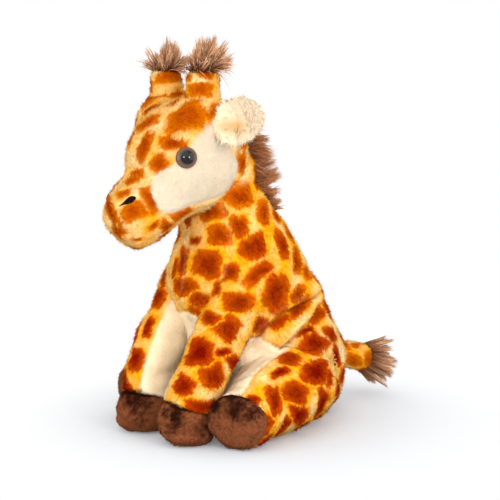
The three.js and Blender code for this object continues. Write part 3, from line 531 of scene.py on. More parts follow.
def front_leg_forms():
    """The left front leg and its hoof."""
    line = bent_line(SHOULDER, FRONT_TOE, FRONT_BEND_SHARES)
    leg_line = part_of_line(line, 0, FRONT_HOOF_PLACE)
    leg = limb(leg_line, FRONT_LEG_RADIUS, FRONT_LEG_SHARES, sides=96, rows=58, ball=SHOULDER_RADIUS, tip=2.6)
    hoof_line = part_of_line(line, FRONT_HOOF_PLACE + 0.03, 0.985)
    hoof = limb(hoof_line, FRONT_LEG_RADIUS, FRONT_HOOF_SHARES, sides=96, rows=24, ball=2.6, tip=2.0)
    return leg, hoof


def hind_leg_forms():
    """The left hind leg and its hoof."""
    line = bent_line(HIP, HIND_SOLE, HIND_BEND_SHARES)
    leg_line = part_of_line(line, 0, HIND_HOOF_PLACE)
    leg_shares = [(place / HIND_HOOF_PLACE, *row) for place, *row in HIND_SHARES]
    leg = limb(leg_line, HIND_LEG_RADIUS, leg_shares, sides=104, rows=62, ball=HIP_RADIUS * 0.96, tip=2.6)
    hoof_line = part_of_line(line, HIND_HOOF_PLACE + 0.025, 0.995)
    hoof = limb(hoof_line, HIND_LEG_RADIUS, HIND_HOOF_SHARES, sides=96, rows=16, ball=2.6, tip=3.4)
    return leg, hoof


def tail_form():
    middle = (TAIL_ROOT + TAIL_END) / 2 + Z_AXIS * TAIL_DROP * 0.25
    corners = [TAIL_ROOT, middle, TAIL_END]
    return limb(corners, TAIL_RADIUS, TAIL_SHARES, sides=60, rows=40, ball=TAIL_RADIUS, tip=2.0)


# Horns and ears

HORN_SPACING = 37.0
HORN_PLACE_SHARE = 0.27
HORN_SHARES = [
    (0.0, 0.7, 0.7), (0.15, 0.9, 0.9), (0.3, 1.08, 1.08), (0.45, 1.06, 1.06), (0.7, 1.0, 1.0),
    (0.9, 0.98, 0.98), (1.0, 0.9, 0.9),
]


def horn_place():
    half = table_values(HEAD_SHARES, [HORN_PLACE_SHARE])[0, 2] * HEAD_SIZE[0]
    turn = math.acos(HORN_SPACING / 2 / half)
    return head_surface(HORN_PLACE_SHARE, np.array([turn]))[0]


HORN_BASE = horn_place()
HORN_TOP = HORN_BASE + Z_AXIS * HORN_HEIGHT


def horn_form():
    foot = HORN_BASE - Z_AXIS * 2.0
    corners = [foot, (foot + HORN_TOP) / 2, HORN_TOP - Z_AXIS * 2.5]
    return limb(corners, HORN_RADIUS, HORN_SHARES, sides=72, rows=36, ball=2.0, tip=2.5)


EAR_ROOT = JOINTS["ear_left_fold"]
EAR_TILT = math.radians(11.0)
EAR_SIZE = (38.0, 26.5)
EAR_OVERLAP = 5.0
EAR_OUT = np.array([math.cos(EAR_TILT), 0, math.sin(EAR_TILT)])
EAR_UP = np.array([-math.sin(EAR_TILT), 0, math.cos(EAR_TILT)])
EAR_CUP = 4.2
EAR_RIPPLE = 0.4
EAR_HOLLOW = 3.2
EAR_FOLD_SHARE = 0.42
EAR_FOLD_OUT = 7.5
EAR_FOLD_FORWARD = 11.0
EAR_SHARES = [
    (0.0, 0.3), (0.1, 0.37), (0.22, 0.45), (0.38, 0.5), (0.55, 0.52), (0.72, 0.49), (0.86, 0.39),
    (0.95, 0.24), (1.0, 0.06),
]
EAR_SIDES = 72


def ear_form(front, back, margin, first=0.0):
    """A cupped leaf between two depths, rounded at its edge."""
    places = 1 - (1 - np.linspace(0, 1, 56)) ** 1.6
    places = first + (1 - first) * places
    half = np.maximum(table_values(EAR_SHARES, places)[:, 0] * EAR_SIZE[1] - margin, 0.4)
    turns = np.arange(EAR_SIDES) * TAU / EAR_SIDES
    side = np.cos(turns)
    rings = []
    for reach, wide in zip(places * (EAR_SIZE[0] - margin), half):
        share = reach / EAR_SIZE[0]
        fold_in = 1 - smooth_step(0, EAR_FOLD_SHARE, share)
        thick = (back - front) / 2 * min(1.0, 0.35 + wide / 6)
        depth = (front + back) / 2 + np.sin(turns) * thick
        depth = depth - EAR_CUP * side**2 * (wide / (EAR_SIZE[1] / 2)) ** 2
        depth = depth + EAR_HOLLOW * math.sin(math.pi * share) * (1 - side**2)
        depth = depth - EAR_FOLD_FORWARD * fold_in * (1 - 0.35 * side**2)
        outward = reach - EAR_OVERLAP * (1 - share) + EAR_FOLD_OUT * fold_in
        rings.append(EAR_ROOT + outward * EAR_OUT + (side * wide)[:, None] * EAR_UP + depth[:, None] * Y_AXIS)
    form = loft(np.array(rings), places)
    flat = form.points * np.array([1.0, 0, 1.0])
    for axis, seed in ((0, 77), (2, 78)):
        form.points[:, axis] += EAR_RIPPLE * waves(flat, 15, seed)
    return form


# The forms of the toy

FORMS = {}
SEAM_SOFTNESS = 7
NECK_SOFTNESS = 16
SHOULDER_SOFTNESS = 26


def add_pair(name, form):
    FORMS[f"{name}_left"] = form
    FORMS[f"{name}_right"] = form.mirrored()


def build_forms():
    FORMS["body"] = body_form()
    FORMS["head"] = head_form()
    for part, forms in (("front", front_leg_forms()), ("hind", hind_leg_forms())):
        for name, form in zip(("leg", "hoof"), forms):
            form.stand()
            add_pair(f"{part}_{name}", form)
    add_pair("horn", horn_form())
    add_pair("ear_outer", ear_form(front=1.4, back=4.6, margin=1.6))
    add_pair("ear_lining", ear_form(front=-1.0, back=2.8, margin=0.0, first=0.02))
    FORMS["ear_lining_right"] = ear_form(front=-1.0, back=2.8, margin=5.0, first=0.02).mirrored()
    FORMS["tail"] = tail_form()


# How far the nape and the back of the head are drawn in: height and amount
NAPE_DRAWN_IN = [
    (86, 0), (104, 1.5), (116, 4.0), (128, 6.5), (140, 9.0), (150, 10.5), (160, 12.0), (188, 14.0),
]
HEAD_DRAWN_IN = [(148, 0), (158, 9.0), (166, 13.0), (180, 14.0), (190, 12.0), (202, 6.0), (214, 0)]


def draw_in_nape():
    """Draws in the back of the neck and head, where the mane covers them."""
    for name, table, front, back in (("body", NAPE_DRAWN_IN, -42, 6), ("head", HEAD_DRAWN_IN, -50, -12)):
        points = FORMS[name].points
        amount = table_values(table, points[:, 2])[:, 0]
        points[:, 1] -= amount * smooth_step(front, back, points[:, 1])


def raise_brow():
    """Lifts the head to a soft mound under each horn."""
    head = FORMS["head"]
    for sign in (1, -1):
        axis = HORN_BASE[:2] * np.array([sign, 1])
        distance = np.linalg.norm(head.points[:, :2] - axis, axis=1)
        mound = HORN_BASE[2] + 5.0 - 0.95 * np.maximum(distance - 12.0, 0)
        lift = np.logaddexp(0, (mound - head.points[:, 2]) / 3.5) * 3.5
        upper = smooth_step(-22, -6, head.points[:, 2] - HORN_BASE[2] + 8)
        head.points[:, 2] += lift * upper * (1 - smooth_step(17, 28, distance))


def beside_shoulder(form):
    """1 high up and far out, 0 at the chest and lower down."""
    return smooth_step(76, 98, form.points[:, 2]) * smooth_step(10, 34, np.abs(form.points[:, 0]))


def soften_forms():
    """Rounds the creases where stuffed forms are sewn to each other."""
    body, head = FORMS["body"], FORMS["head"]
    body_tree, head_tree = body.tree(), head.tree()
    for side in ("left", "right"):
        front, hind = FORMS[f"front_leg_{side}"], FORMS[f"hind_leg_{side}"]
        front_tree, hind_tree = front.tree(), hind.tree()
        soften_crease(front, body_tree, SHOULDER_SOFTNESS, beside_shoulder(front))
        soften_crease(hind, body_tree, SEAM_SOFTNESS)
        soften_crease(body, front_tree, SHOULDER_SOFTNESS, beside_shoulder(body))
        soften_crease(body, hind_tree, SEAM_SOFTNESS)
    for form, tree in ((body, head_tree), (head, body_tree)):
        soften_crease(form, tree, NECK_SOFTNESS, 0.3 * smooth_step(-48, -20, form.points[:, 1]))
    for side in ("left", "right"):
        soften_crease(head, FORMS[f"horn_{side}"].tree(), SEAM_SOFTNESS)


def wrinkle_forms():
    """The uneven swell of filling under plush."""
    for i, (name, form) in enumerate(FORMS.items()):
        if name.startswith("ear"):
            continue
        amount = {"horn": 0.35, "tail": 0.4, "head": 0.45}.get(name.split("_")[0], 0.7)
        form.push(amount * (waves(form.points, 34, 100 + i) + 0.35 * waves(form.points, 14, 200 + i)))
        form.stand()


# Camera rays

CAMERA_FORWARD = unit(CAMERA_AIM - CAMERA_PLACE)
CAMERA_RIGHT = unit(np.cross(CAMERA_FORWARD, Z_AXIS))
CAMERA_UP = np.cross(CAMERA_RIGHT, CAMERA_FORWARD)
FOCAL_PX = CAMERA_LENS / CAMERA_SENSOR * PICTURE_SIZE


def camera_ray(x, y):
    half = PICTURE_SIZE / 2
    return unit(CAMERA_FORWARD + CAMERA_RIGHT * (x - half) / FOCAL_PX + CAMERA_UP * (half - y) / FOCAL_PX)


def cast(trees, x, y):
    """The nearest form behind a pixel: its point, normal and distance."""
    direction = camera_ray(x, y)
    best = None
    for tree in trees:
        place, normal, _, distance = tree.ray_cast(CAMERA_PLACE, direction)
        if place is not None and (best is None or distance < best[2]):
            best = (np.array(place), np.array(normal), distance)
    return best


def seam_line(trees, pixels):
    """Points of a seam that passes behind pixels."""
    hits = [cast(trees, x, y) for x, y in pixels]
    return smooth_line([hit[0] for hit in hits if hit], np.linspace(0, 1, 60))[0]


# Spots

SPOT_POWER = 3.6
SPOT_DEPTH = 12.0
SPOT_GROWTH = 1.08
SPOT_GROUPS = {
    "head": ("head",),
    "horn": ("horn_left", "horn_right"),
    "body": ("body", "front_leg_left", "front_leg_right", "hind_leg_left", "hind_leg_right"),
    "tail": ("tail",),
    "ear": ("ear_outer_left", "ear_outer_right"),
}

# Half sizes of the spots that the camera doesn't see, and how many places are tried for them
SPOT_SIZES = {"head": 7.2, "horn": 4.8, "body": 8.6, "tail": 4.6, "ear": 6.0}
SPOT_TRIES = 5200
SPOT_GAP = 1.3


def spot_from_pixels(trees, row):
    """A spot on the surface behind a pixel, stretched as far as the view squeezes it."""
    x, y, width, height, turn = row
    hit = cast(trees, x, y)
    if hit is None:
        return None
    centre, normal, distance = hit
    scale = distance / FOCAL_PX
    cos, sin = math.cos(math.radians(turn)), math.sin(math.radians(turn))
    ray = camera_ray(x, y)
    facing = max(-ray @ normal, 0.3)
    halves = []
    for direction, size in (
        (CAMERA_RIGHT * cos + CAMERA_UP * sin, width),
        (CAMERA_UP * cos - CAMERA_RIGHT * sin, height),
    ):
        reach = direction * size / 2 * scale * SPOT_GROWTH
        reach = reach + ray * np.clip((reach @ normal) / facing, -size * scale, size * scale)
        halves.append(reach - normal * (reach @ normal))
    return {"centre": centre, "normal": normal, "u": halves[0], "v": halves[1]}


def spot_metric(spot, points):
    """Distance in spot sizes: 1 on the spot's edge."""
    inverse = np.linalg.inv(np.column_stack([spot["u"], spot["v"], spot["normal"]]))
    u, v, w = ((points - spot["centre"]) @ inverse.T).T
    angle = np.arctan2(v, u)
    a, b, c = spot["phase"]
    wobble = 1 + 0.04 * np.sin(2 * angle + a) + 0.07 * np.sin(3 * angle + b) + 0.04 * np.sin(5 * angle + c)
    flat = (np.abs(u) ** SPOT_POWER + np.abs(v) ** SPOT_POWER) ** (1 / SPOT_POWER)
    return np.sqrt(flat**2 + (w / SPOT_DEPTH) ** 2) / wobble


def in_view(point, normal, trees):
    """Whether the camera sees a place of a form."""
    towards = unit(CAMERA_PLACE - point)
    if normal @ towards <= 0.16:
        return False
    start = point + towards * 2.5
    return all(tree.ray_cast(start, towards)[0] is None for tree in trees.values())


def random_spots(group, spots, trees, rng):
    """More spots where the camera doesn't look, spaced like the seen ones."""
    names = SPOT_GROUPS[group]
    centres = [spot["centre"] for spot in spots]
    spread = [(np.linalg.norm(spot["u"]) + np.linalg.norm(spot["v"])) / 2 for spot in spots]
    for name in names:
        form = FORMS[name]
        normals = form.normals()
        others = [trees[other] for other in names if other != name]
        for i in rng.permutation(len(form.points))[:SPOT_TRIES]:
            point, normal = form.points[i], normals[i]
            radius = SPOT_SIZES[group] * rng.uniform(0.72, 1.25)
            if centres:
                gaps = np.linalg.norm(np.array(centres) - point, axis=1)
                if (gaps < np.array(spread) + radius + SPOT_GAP).any():
                    continue
            if in_view(point, normal, trees):
                continue
            if any(signed_distance(tree, [point])[0] < -1 for tree in others):
                continue
            side = unit(np.cross(normal, rng.normal(size=3)))
            other_side = np.cross(normal, side)
            stretch = rng.uniform(0.78, 1.28)
            u, v = side * radius * stretch, other_side * radius / stretch
            spots.append({"centre": point, "normal": normal, "u": u, "v": v})
            centres.append(point)
            spread.append(radius)
    return spots


def build_spots():
    trees = {name: form.tree() for name, form in FORMS.items()}
    rng = np.random.default_rng(7)
    result = {}
    for group, names in SPOT_GROUPS.items():
        own = [trees[name] for name in names]
        spots = [spot_from_pixels(own, row) for row in SPOTS_PX.get(group, [])]
        spots = random_spots(group, [spot for spot in spots if spot], trees, rng)
        for spot in spots:
            spot["phase"] = rng.uniform(0, TAU, 3)
        result[group] = spots
    return result


def nearest_spots(points, spots):
    """Distance to the nearest spot and the next one, in spot sizes, and the tone of the nearest."""
    nearest = np.full(len(points), 9.0)
    second = np.full(len(points), 9.0)
    tone = np.zeros(len(points))
    for spot in spots:
        reach = 2.4 * max(np.linalg.norm(spot["u"]), np.linalg.norm(spot["v"])) + 3
        close = np.flatnonzero(np.linalg.norm(points - spot["centre"], axis=1) < reach)
        if not len(close):
            continue
        metric = spot_metric(spot, points[close])
        old = nearest[close]
        tone[close] = np.where(metric < old, math.sin(spot["phase"][0] * 3), tone[close])
        nearest[close] = np.minimum(old, metric)
        second[close] = np.minimum(second[close], np.maximum(old, metric))
    return nearest, second, tone


# Painted light on the body, where its spots turn paler and its ground cooler towards the back, up the neck
# and on the upper chest: from and to, in millimetres back or up
PALE_BACK = (-30, 8)
PALE_BACK_ABOVE = (62, 92)
PALE_NECK_ABOVE = (122, 152)
PALE_CHEST = (-25, -48)
PALE_CHEST_ABOVE = (66, 82)
COOL_BACK = (0, 42)


def depth_and_warmth(points, group, blotch, tone):
    """How deep the brown of the spots is, and how warm the ground between them. On the body, painted light
    pales the spots and cools the ground towards the back, up the neck and on the upper chest.
    """
    if group != "body":
        return np.clip(0.2 * blotch + 0.12 * tone, 0, 1), np.full(len(points), 0.5)
    back = smooth_step(*PALE_BACK, points[:, 1]) * smooth_step(*PALE_BACK_ABOVE, points[:, 2])
    deep = np.clip(0.95 - back * 0.75 + 0.2 * (blotch - 0.5) + 0.14 * tone, 0, 1)
    deep *= 1 - 0.6 * smooth_step(*PALE_NECK_ABOVE, points[:, 2])
    deep *= 1 - 0.3 * smooth_step(*PALE_CHEST, points[:, 1]) * smooth_step(*PALE_CHEST_ABOVE, points[:, 2])
    return deep, np.clip(0.8 - 0.5 * smooth_step(*COOL_BACK, points[:, 1]), 0, 1)


# Layers of the ragged edge of the spots: share and size of the bumps
RAGGED_EDGE = ((0.035, 5.5), (0.03, 2.4))

# Where the brown ends, where two spots part and where the core sets in: from and to, in spot sizes
SPOT_END = (0.92, 1.06)
SPOT_PARTING = (0.03, 0.16)
SPOT_CORE = (0.1, 0.75)
HALO_FALL = 3.4
# The plush of the head, horns, outer ears and tail is painted darker than the body's by this share: painted
# shade
OTHER_GROUPS_SHADE = 0.87


def spotted_tint(points, spots, group, seed):
    """Linear colour of the spotted plush at points."""
    nearest, second, tone = nearest_spots(points, spots)
    edge = nearest + layered_waves(points, RAGGED_EDGE, seed)
    cover = (1 - smooth_step(*SPOT_END, edge)) * smooth_step(*SPOT_PARTING, second - nearest)
    core = smooth_step(*SPOT_CORE, 1 - edge)
    blotch = np.clip(0.5 + 0.3 * waves(points, 24, seed + 2), 0, 1)
    deep, warmth = depth_and_warmth(points, group, blotch, tone)
    edge_colour = mix(COLOURS["spot_edge"], COLOURS["deep_edge"], deep)
    core_colour = mix(COLOURS["spot_core"], COLOURS["deep_core"], deep)
    spot_colour = mix(edge_colour, core_colour, core * (0.75 + 0.25 * blotch))
    halo = np.exp(-np.maximum(nearest - 1, 0) * HALO_FALL)
    warm = np.clip(warmth * 0.6 + halo * (0.2 + 0.55 * warmth) + 0.2 * waves(points, 18, seed + 3), 0, 1)
    ground = mix(COLOURS["pale"], COLOURS["warm"], warm)
    # Outside the body the plush is darkened with painted shade
    return mix(ground, spot_colour, cover) * (1.0 if group == "body" else OTHER_GROUPS_SHADE)


def cream_tint(points, seed, colour):
    share = np.clip(0.12 + 0.08 * waves(points, 12, seed), 0, 1)
    return mix(COLOURS[colour], COLOURS["cream_shade"], share)


# Panels and seams

# Cream panels of the legs: middle and half width in degrees round the leg, and the leg's radius there
LEG_PANELS = {
    "front_leg": (180, 57, FRONT_LEG_RADIUS),
    "hind_leg": (167.5, 87.5, HIND_LEG_RADIUS * 1.2),
}
BACK_SEAM_TURN = math.radians(312)
SEAM_WIDTH = 1.3
SEAM_DEPTH = 0.8
FAR_AWAY = 99.0


def groove(form, distance, depth=SEAM_DEPTH, width=SEAM_WIDTH, pale=0.1):
    """Draws a seam into a form where the distance to it is small, with shorter, paler pile there."""
    shape = bell(distance, width)
    form.push(-depth * shape)
    form.pile = form.pile * (1 - 0.3 * shape)
    form.pale = np.maximum(form.pale, bell(distance / width, 0.9) * pale)


# A fold turns from crease to roll within this height above and below its line, in millimetres
FOLD_TURN = 1.8

# The painted highlight on a fold's pale edge and the painted shade in its crease: height above its line,
# width and share
FOLD_HIGHLIGHT = (3.2, 1.6, 0.06)
FOLD_SHADE = (-1.2, 2.1, 0.7)


def fold(form, line, depth, width):
    """A tuck in the cloth: a deep crease below a line, and a soft roll with a pale edge above it. The pale
    edge is a painted highlight and the crease is darkened with painted shade.
    """
    distance = line_distance(form.points, line)
    above = np.zeros(len(form.points))
    closest = np.full(len(form.points), width * 5)
    for a, b in zip(line[:-1], line[1:]):
        middle = (a + b) / 2
        gap = np.linalg.norm(form.points - middle, axis=1)
        near = gap < closest
        up = unit(np.cross(unit(b - a), unit(middle * (X_AXIS + Y_AXIS))))
        up = up if up[2] > 0 else -up
        above[near] = (form.points[near] - middle) @ up
        closest[near] = gap[near]
    crease = bell(distance, width) * smooth_step(FOLD_TURN, -FOLD_TURN, above)
    roll = bell(distance / width, 2.6) * smooth_step(-FOLD_TURN, FOLD_TURN, above)
    form.push(roll * depth * 0.8 - crease * depth)
    close = bell(distance / width, 1.3)
    # Painted highlight along the roll's pale edge, and painted shade in the crease
    pale, shade = (bell(above - height, reach) * close * share
                   for height, reach, share in (FOLD_HIGHLIGHT, FOLD_SHADE))
    form.pale, form.shade = np.maximum(form.pale, pale), np.maximum(form.shade, shade)


BELLY_SHARES = [
    (0, 0.49), (0.18, 0.465), (0.32, 0.42), (0.44, 0.38), (0.5, 0.3), (0.5, 0.1), (0.3, 0.02),
    (-0.3, 0.02), (-0.5, 0.1), (-0.5, 0.3), (-0.44, 0.38), (-0.32, 0.42), (-0.18, 0.465),
]


def belly_distance(points):
    """How far inside the belly panel each point lies, in millimetres."""
    outline = smooth_loop(BELLY_SHARES, 72) * np.array([BODY_SIZE[0], BODY_SIZE[2]])
    return np.minimum(outline_distance(points[:, [0, 2]], outline), -14 - points[:, 1])


def panel_distance(name):
    """Millimetres inside the cream panel of a form, or nothing where it has none."""
    form, part = FORMS[name], name.rsplit("_", 1)[0]
    if name == "body":
        return belly_distance(form.points)
    if name == "head":
        return cheek_distance(form.points)
    if part not in LEG_PANELS:
        return None
    middle, half, radius = LEG_PANELS[part]
    off = np.abs((form.turn - math.radians(middle) + math.pi) % TAU - math.pi)
    return (math.radians(half) - off) * radius


ARM_FOLD_PX = [(258, 335), (266, 326), (277, 315), (293, 306), (309, 297), (314, 293)]
HAUNCH_FOLD_PX = [(288, 340), (296, 332), (305, 322), (313, 311), (319, 302)]
SIDE_SEAM_PX = [
    (219, 196), (223, 206), (226, 217), (230, 230), (231, 246), (229, 258), (224, 274), (217, 292),
]


def sew_body():
    """The side seams, the folds beside the limbs, the middle seams and the belly panel's seam."""
    body = FORMS["body"]
    trees = [body.tree()]
    side, arm, haunch = (seam_line(trees, line) for line in (SIDE_SEAM_PX, ARM_FOLD_PX, HAUNCH_FOLD_PX))
    for mirror in (np.ones(3), MIRROR):
        groove(body, line_distance(body.points, side * mirror), depth=1.1)
        fold(body, arm * mirror, depth=3.0, width=4.6)
        fold(body, haunch * mirror, depth=4.2, width=5.0)
    front = np.where(body.points[:, 1] < 0, np.abs(body.points[:, 0]), FAR_AWAY)
    groove(body, front + smooth_step(95, 80, body.points[:, 2]) * 9)
    groove(body, np.where(body.points[:, 1] > 0, np.abs(body.points[:, 0]), FAR_AWAY))
    groove(body, panel_distance("body"))


# The hoof's ring and the knee's crease: the share along the form where each lies, and the form's length
HOOF_RING = (0.56, 15)
KNEE = (0.66, 62)
KNEE_BEND = 3.2
KNEE_DEPTH = 1.3
KNEE_WIDTH = 2.2


def sew_legs(side):
    """The seams of the leg panels, the front leg's back seam, the knee's crease and the hoof's ring."""
    leg, hoof = FORMS[f"front_leg_{side}"], FORMS[f"front_hoof_{side}"]
    groove(leg, panel_distance(f"front_leg_{side}"))
    back_seam = np.abs(leg.turn - BACK_SEAM_TURN) * FRONT_LEG_RADIUS
    groove(leg, np.where(leg.along > 0.25, back_seam, FAR_AWAY), depth=0.7)
    groove(hoof, (hoof.along - HOOF_RING[0]) * HOOF_RING[1], depth=0.9, width=1.1, pale=0.0)
    leg = FORMS[f"hind_leg_{side}"]
    groove(leg, panel_distance(f"hind_leg_{side}"))
    knee = KNEE_BEND * np.sin(leg.turn + 0.6) + (leg.along - KNEE[0]) * KNEE[1]
    leg.push(-KNEE_DEPTH * bell(knee, KNEE_WIDTH) * smooth_step(0.35, 0.9, np.cos(leg.turn - 0.1)))


def sew_seams():
    sew_body()
    groove(FORMS["head"], panel_distance("head"), depth=0.9)
    for side in ("left", "right"):
        sew_legs(side)


# Tints

HOOF_COMB = unit(np.array([0.0, -0.4, -1.0]))

# Layers of the hoof's uneven nap: share and size of the bumps
HOOF_GRAIN = ((0.34, 26), (0.2, 8), (0.14, 3.0), (0.08, 1.6))
HOOF_DARK = (-0.35, 1.05)


def paint_hoof(form, seed):
    """Brown plush, dark where it is rubbed up, with painted shading of the velvet nap that darkens it where
    it faces up.
    """
    points = form.points
    # The share of the upward normal is painted shading; the waves are the nap's own unevenness
    nap = layered_waves(points, HOOF_GRAIN, seed, start=0.85 * form.normals()[:, 2])
    form.tint = mix(COLOURS["hoof"], COLOURS["hoof_dark"], smooth_step(*HOOF_DARK, nap))
    form.comb = np.tile(HOOF_COMB, (len(points), 1))
    form.pile *= 0.8


def paint_lining(form):
    """Cream plush, darkened with painted shade in the ear's hollow, and combed outwards from its middle."""
    mirror = np.array([np.sign(form.points[0, 0]), 1, 1])
    hollow_place = EAR_ROOT + EAR_OUT * 12 - EAR_UP * 2
    offset = (form.points * mirror - hollow_place) / np.array([8.0, 40.0, 4.4])
    hollow = np.exp(-np.einsum("ij,ij->i", offset, offset))
    # The lining's cream carries painted light, and its hollow painted shade
    form.tint = mix(COLOURS["ear"], COLOURS["hollow"], np.minimum(hollow * 1.1, 1))
    middle = (EAR_ROOT + EAR_OUT * EAR_SIZE[0] * 0.4) * mirror
    form.comb = unit((form.points - middle) * np.array([1.0, 0.2, 1.0]))


def paint_spotted(name, spots, seed):
    """Spotted plush, with the cream panel that is let into it."""
    form = FORMS[name]
    group = next(key for key, names in SPOT_GROUPS.items() if name in names)
    form.tint = spotted_tint(form.points, spots[group], group, seed)
    if group == "ear":
        edge = smooth_step(0.78, 0.92, np.abs(np.cos(form.turn)))
        form.pile *= 1 - 0.8 * np.maximum(edge, smooth_step(0.84, 0.95, form.along))
    inside = panel_distance(name)
    if inside is not None:
        # Panels other than the cheeks take the cream with painted light
        colour, thin = ("cream", 0.4) if name == "head" else ("panel", 0.15)
        cream = cream_tint(form.points, seed, colour)
        form.tint = mix(form.tint, cream, smooth_step(-0.5, 0.5, inside))
        form.pile *= 1 - thin * smooth_step(-0.5, 2.0, inside)
    # The seams' paler pile and the painted highlight on the folds' edges, then the painted shade in their
    # creases
    form.tint = mix(form.tint, COLOURS["pale"], form.pale)
    form.tint = mix(form.tint, COLOURS["crease"], form.shade)


def paint_forms(spots):
    for i, (name, form) in enumerate(FORMS.items()):
        seed = 300 + i * 7
        if "hoof" in name:
            paint_hoof(form, seed)
        elif "lining" in name:
            paint_lining(form)
        else:
            paint_spotted(name, spots, seed)


# Materials


def new_material(name, roughness, gloss, scale):
    """A material, its nodes and links, its shader and the fine noise that breaks it up."""
    material = bpy.data.materials.new(name)
    material.use_nodes = True
    nodes, links = material.node_tree.nodes, material.node_tree.links
    shader = nodes["Principled BSDF"]
    shader.inputs["Roughness"].default_value = roughness
    shader.inputs["Specular IOR Level"].default_value = gloss
    grain = nodes.new("ShaderNodeTexNoise")
    grain.inputs["Scale"].default_value = scale
    return material, nodes, links, shader, grain


def tint_node(nodes):
    tint = nodes.new("ShaderNodeAttribute")
    tint.attribute_name = "tint"
    return tint


def add_tint(nodes, links, shader, grain, low, high):
    """Gives a surface the tint of each point, between two shares of it as the noise goes."""
    place = nodes.new("ShaderNodeTexCoord")
    levels = nodes.new("ShaderNodeMapRange")
    levels.inputs["To Min"].default_value = low
    levels.inputs["To Max"].default_value = high
    multiply = nodes.new("ShaderNodeVectorMath")
    multiply.operation = "MULTIPLY"
    links.new(place.outputs["Object"], grain.inputs["Vector"])
    links.new(grain.outputs["Fac"], levels.inputs["Value"])
    links.new(tint_node(nodes).outputs["Color"], multiply.inputs[0])
    links.new(levels.outputs["Result"], multiply.inputs[1])
    links.new(multiply.outputs["Vector"], shader.inputs["Base Color"])


def add_bump(nodes, links, shader, grain, strength, distance):
    """Roughens a surface with the noise, by a distance in millimetres."""
    bump = nodes.new("ShaderNodeBump")
    bump.inputs["Strength"].default_value = strength
    bump.inputs["Distance"].default_value = distance * MM
    links.new(grain.outputs["Fac"], bump.inputs["Height"])
    links.new(bump.outputs["Normal"], shader.inputs["Normal"])


def plush_material():
    """The cloth under the pile."""
    material, *parts, grain = new_material("plush_skin", roughness=0.95, gloss=0.02, scale=900)
    grain.inputs["Detail"].default_value = 3
    add_tint(*parts, grain, low=0.9, high=1.08)
    add_bump(*parts, grain, strength=0.6, distance=0.5)
    return material


def strand_material(name, roughness, gloss):
    """Fibres that carry their own tint, a little uneven along their length."""
    material, *parts = new_material(name, roughness, gloss, scale=420)
    add_tint(*parts, low=0.9, high=1.12)
    return material


def eye_material():
    """Clear glossy plastic over a brown ring and a black pupil."""
    material, nodes, links, shader, grain = new_material("eye_plastic", roughness=0.06, gloss=0.35, scale=700)
    links.new(tint_node(nodes).outputs["Color"], shader.inputs["Base Color"])
    add_bump(nodes, links, shader, grain, strength=0.02, distance=0.05)
    return material


def washer_material():
    """Dull white plastic."""
    material, nodes, links, shader, grain = new_material("washer", roughness=0.45, gloss=0.5, scale=600)
    shader.inputs["Base Color"].default_value = (0.8, 0.8, 0.78, 1)
    add_bump(nodes, links, shader, grain, strength=1.0, distance=0.1)
    return material


# Meshes


def make_piece(name, points, faces, tint, material):
    """A shown mesh in metres, with its tint as a colour attribute."""
    mesh = bpy.data.meshes.new(name)
    sizes = np.concatenate([np.full(len(f), f.shape[1]) for f in faces])
    corners = np.concatenate([f.ravel() for f in faces]).astype(np.int32)
    mesh.vertices.add(len(points))
    mesh.vertices.foreach_set("co", (points * MM).astype(np.float32).ravel())
    mesh.loops.add(len(corners))
    mesh.loops.foreach_set("vertex_index", corners)
    mesh.polygons.add(len(sizes))
    starts = np.concatenate([[0], np.cumsum(sizes)[:-1]]).astype(np.int32)
    mesh.polygons.foreach_set("loop_start", starts)
    mesh.polygons.foreach_set("use_smooth", np.ones(len(sizes), bool))
    mesh.update(calc_edges=True)
    colours = mesh.color_attributes.new(name="tint", type="FLOAT_COLOR", domain="POINT")
    values = np.column_stack([tint, np.ones(len(points))]).astype(np.float32)
    colours.data.foreach_set("color", values.ravel())
    mesh.materials.append(material)
    piece = bpy.data.objects.new(name, mesh)
    bpy.context.scene.collection.objects.link(piece)
    return piece


def form_piece(name, form, material):
    return make_piece(name, form.points, form.faces, form.tint, material)


# Strands of pile

STRAND_FACES = np.array([[0, 1, 3], [1, 2, 3], [2, 0, 3], [2, 1, 0]])

# Where the corners of a strand's faces lie in its own cell of the picture
STRAND_CELL = np.array([
    [0, 0], [1, 0], [0.5, 1],
    [1, 0], [0.5, 0], [0.5, 1],
    [0.5, 0], [0, 0], [0.5, 1],
    [0.5, 0], [1, 0], [0, 0],
])


def strand_map(mesh, count):
    """Gives every strand its own cell of a picture map."""
    side = math.ceil(math.sqrt(count))
    cells = np.column_stack([np.arange(count) % side, np.arange(count) // side])[:, None, :]
    places = (cells + 0.15 + 0.7 * STRAND_CELL) / side
    layer = mesh.uv_layers.new(name="OFBake")
    layer.data.foreach_set("uv", places.astype(np.float32).ravel())


def sample_surface(form, rng, keep):
    """Random places on a form: points, normals, combs, tints and pile shares."""
    triangles = form.triangles()
    a, b, c = form.corners()
    area = np.linalg.norm(np.cross(b - a, c - a), axis=1) / 2 * keep[triangles].mean(axis=1)
    count = int(area.sum() * PILE_PER_AREA)
    chosen = triangles[rng.choice(len(triangles), size=count, p=area / area.sum())]
    u, v = rng.random(count), rng.random(count)
    flip = u + v > 1
    u, v = np.where(flip, 1 - u, u), np.where(flip, 1 - v, v)
    weights = np.column_stack([1 - u - v, u, v])

    def blend(values):
        return np.einsum("ij,ij...->i...", weights, values[chosen])

    normals, combs = unit(blend(form.normals())), unit(blend(form.comb))
    return blend(form.points), normals, combs, blend(form.tint), blend(form.pile)


def ring_corners(middles, side, other, radius):
    """Three corners round each fibre."""
    turns = [TAU * k / 3 for k in range(3)]
    return [middles + (side * math.cos(turn) + other * math.sin(turn)) * radius for turn in turns]


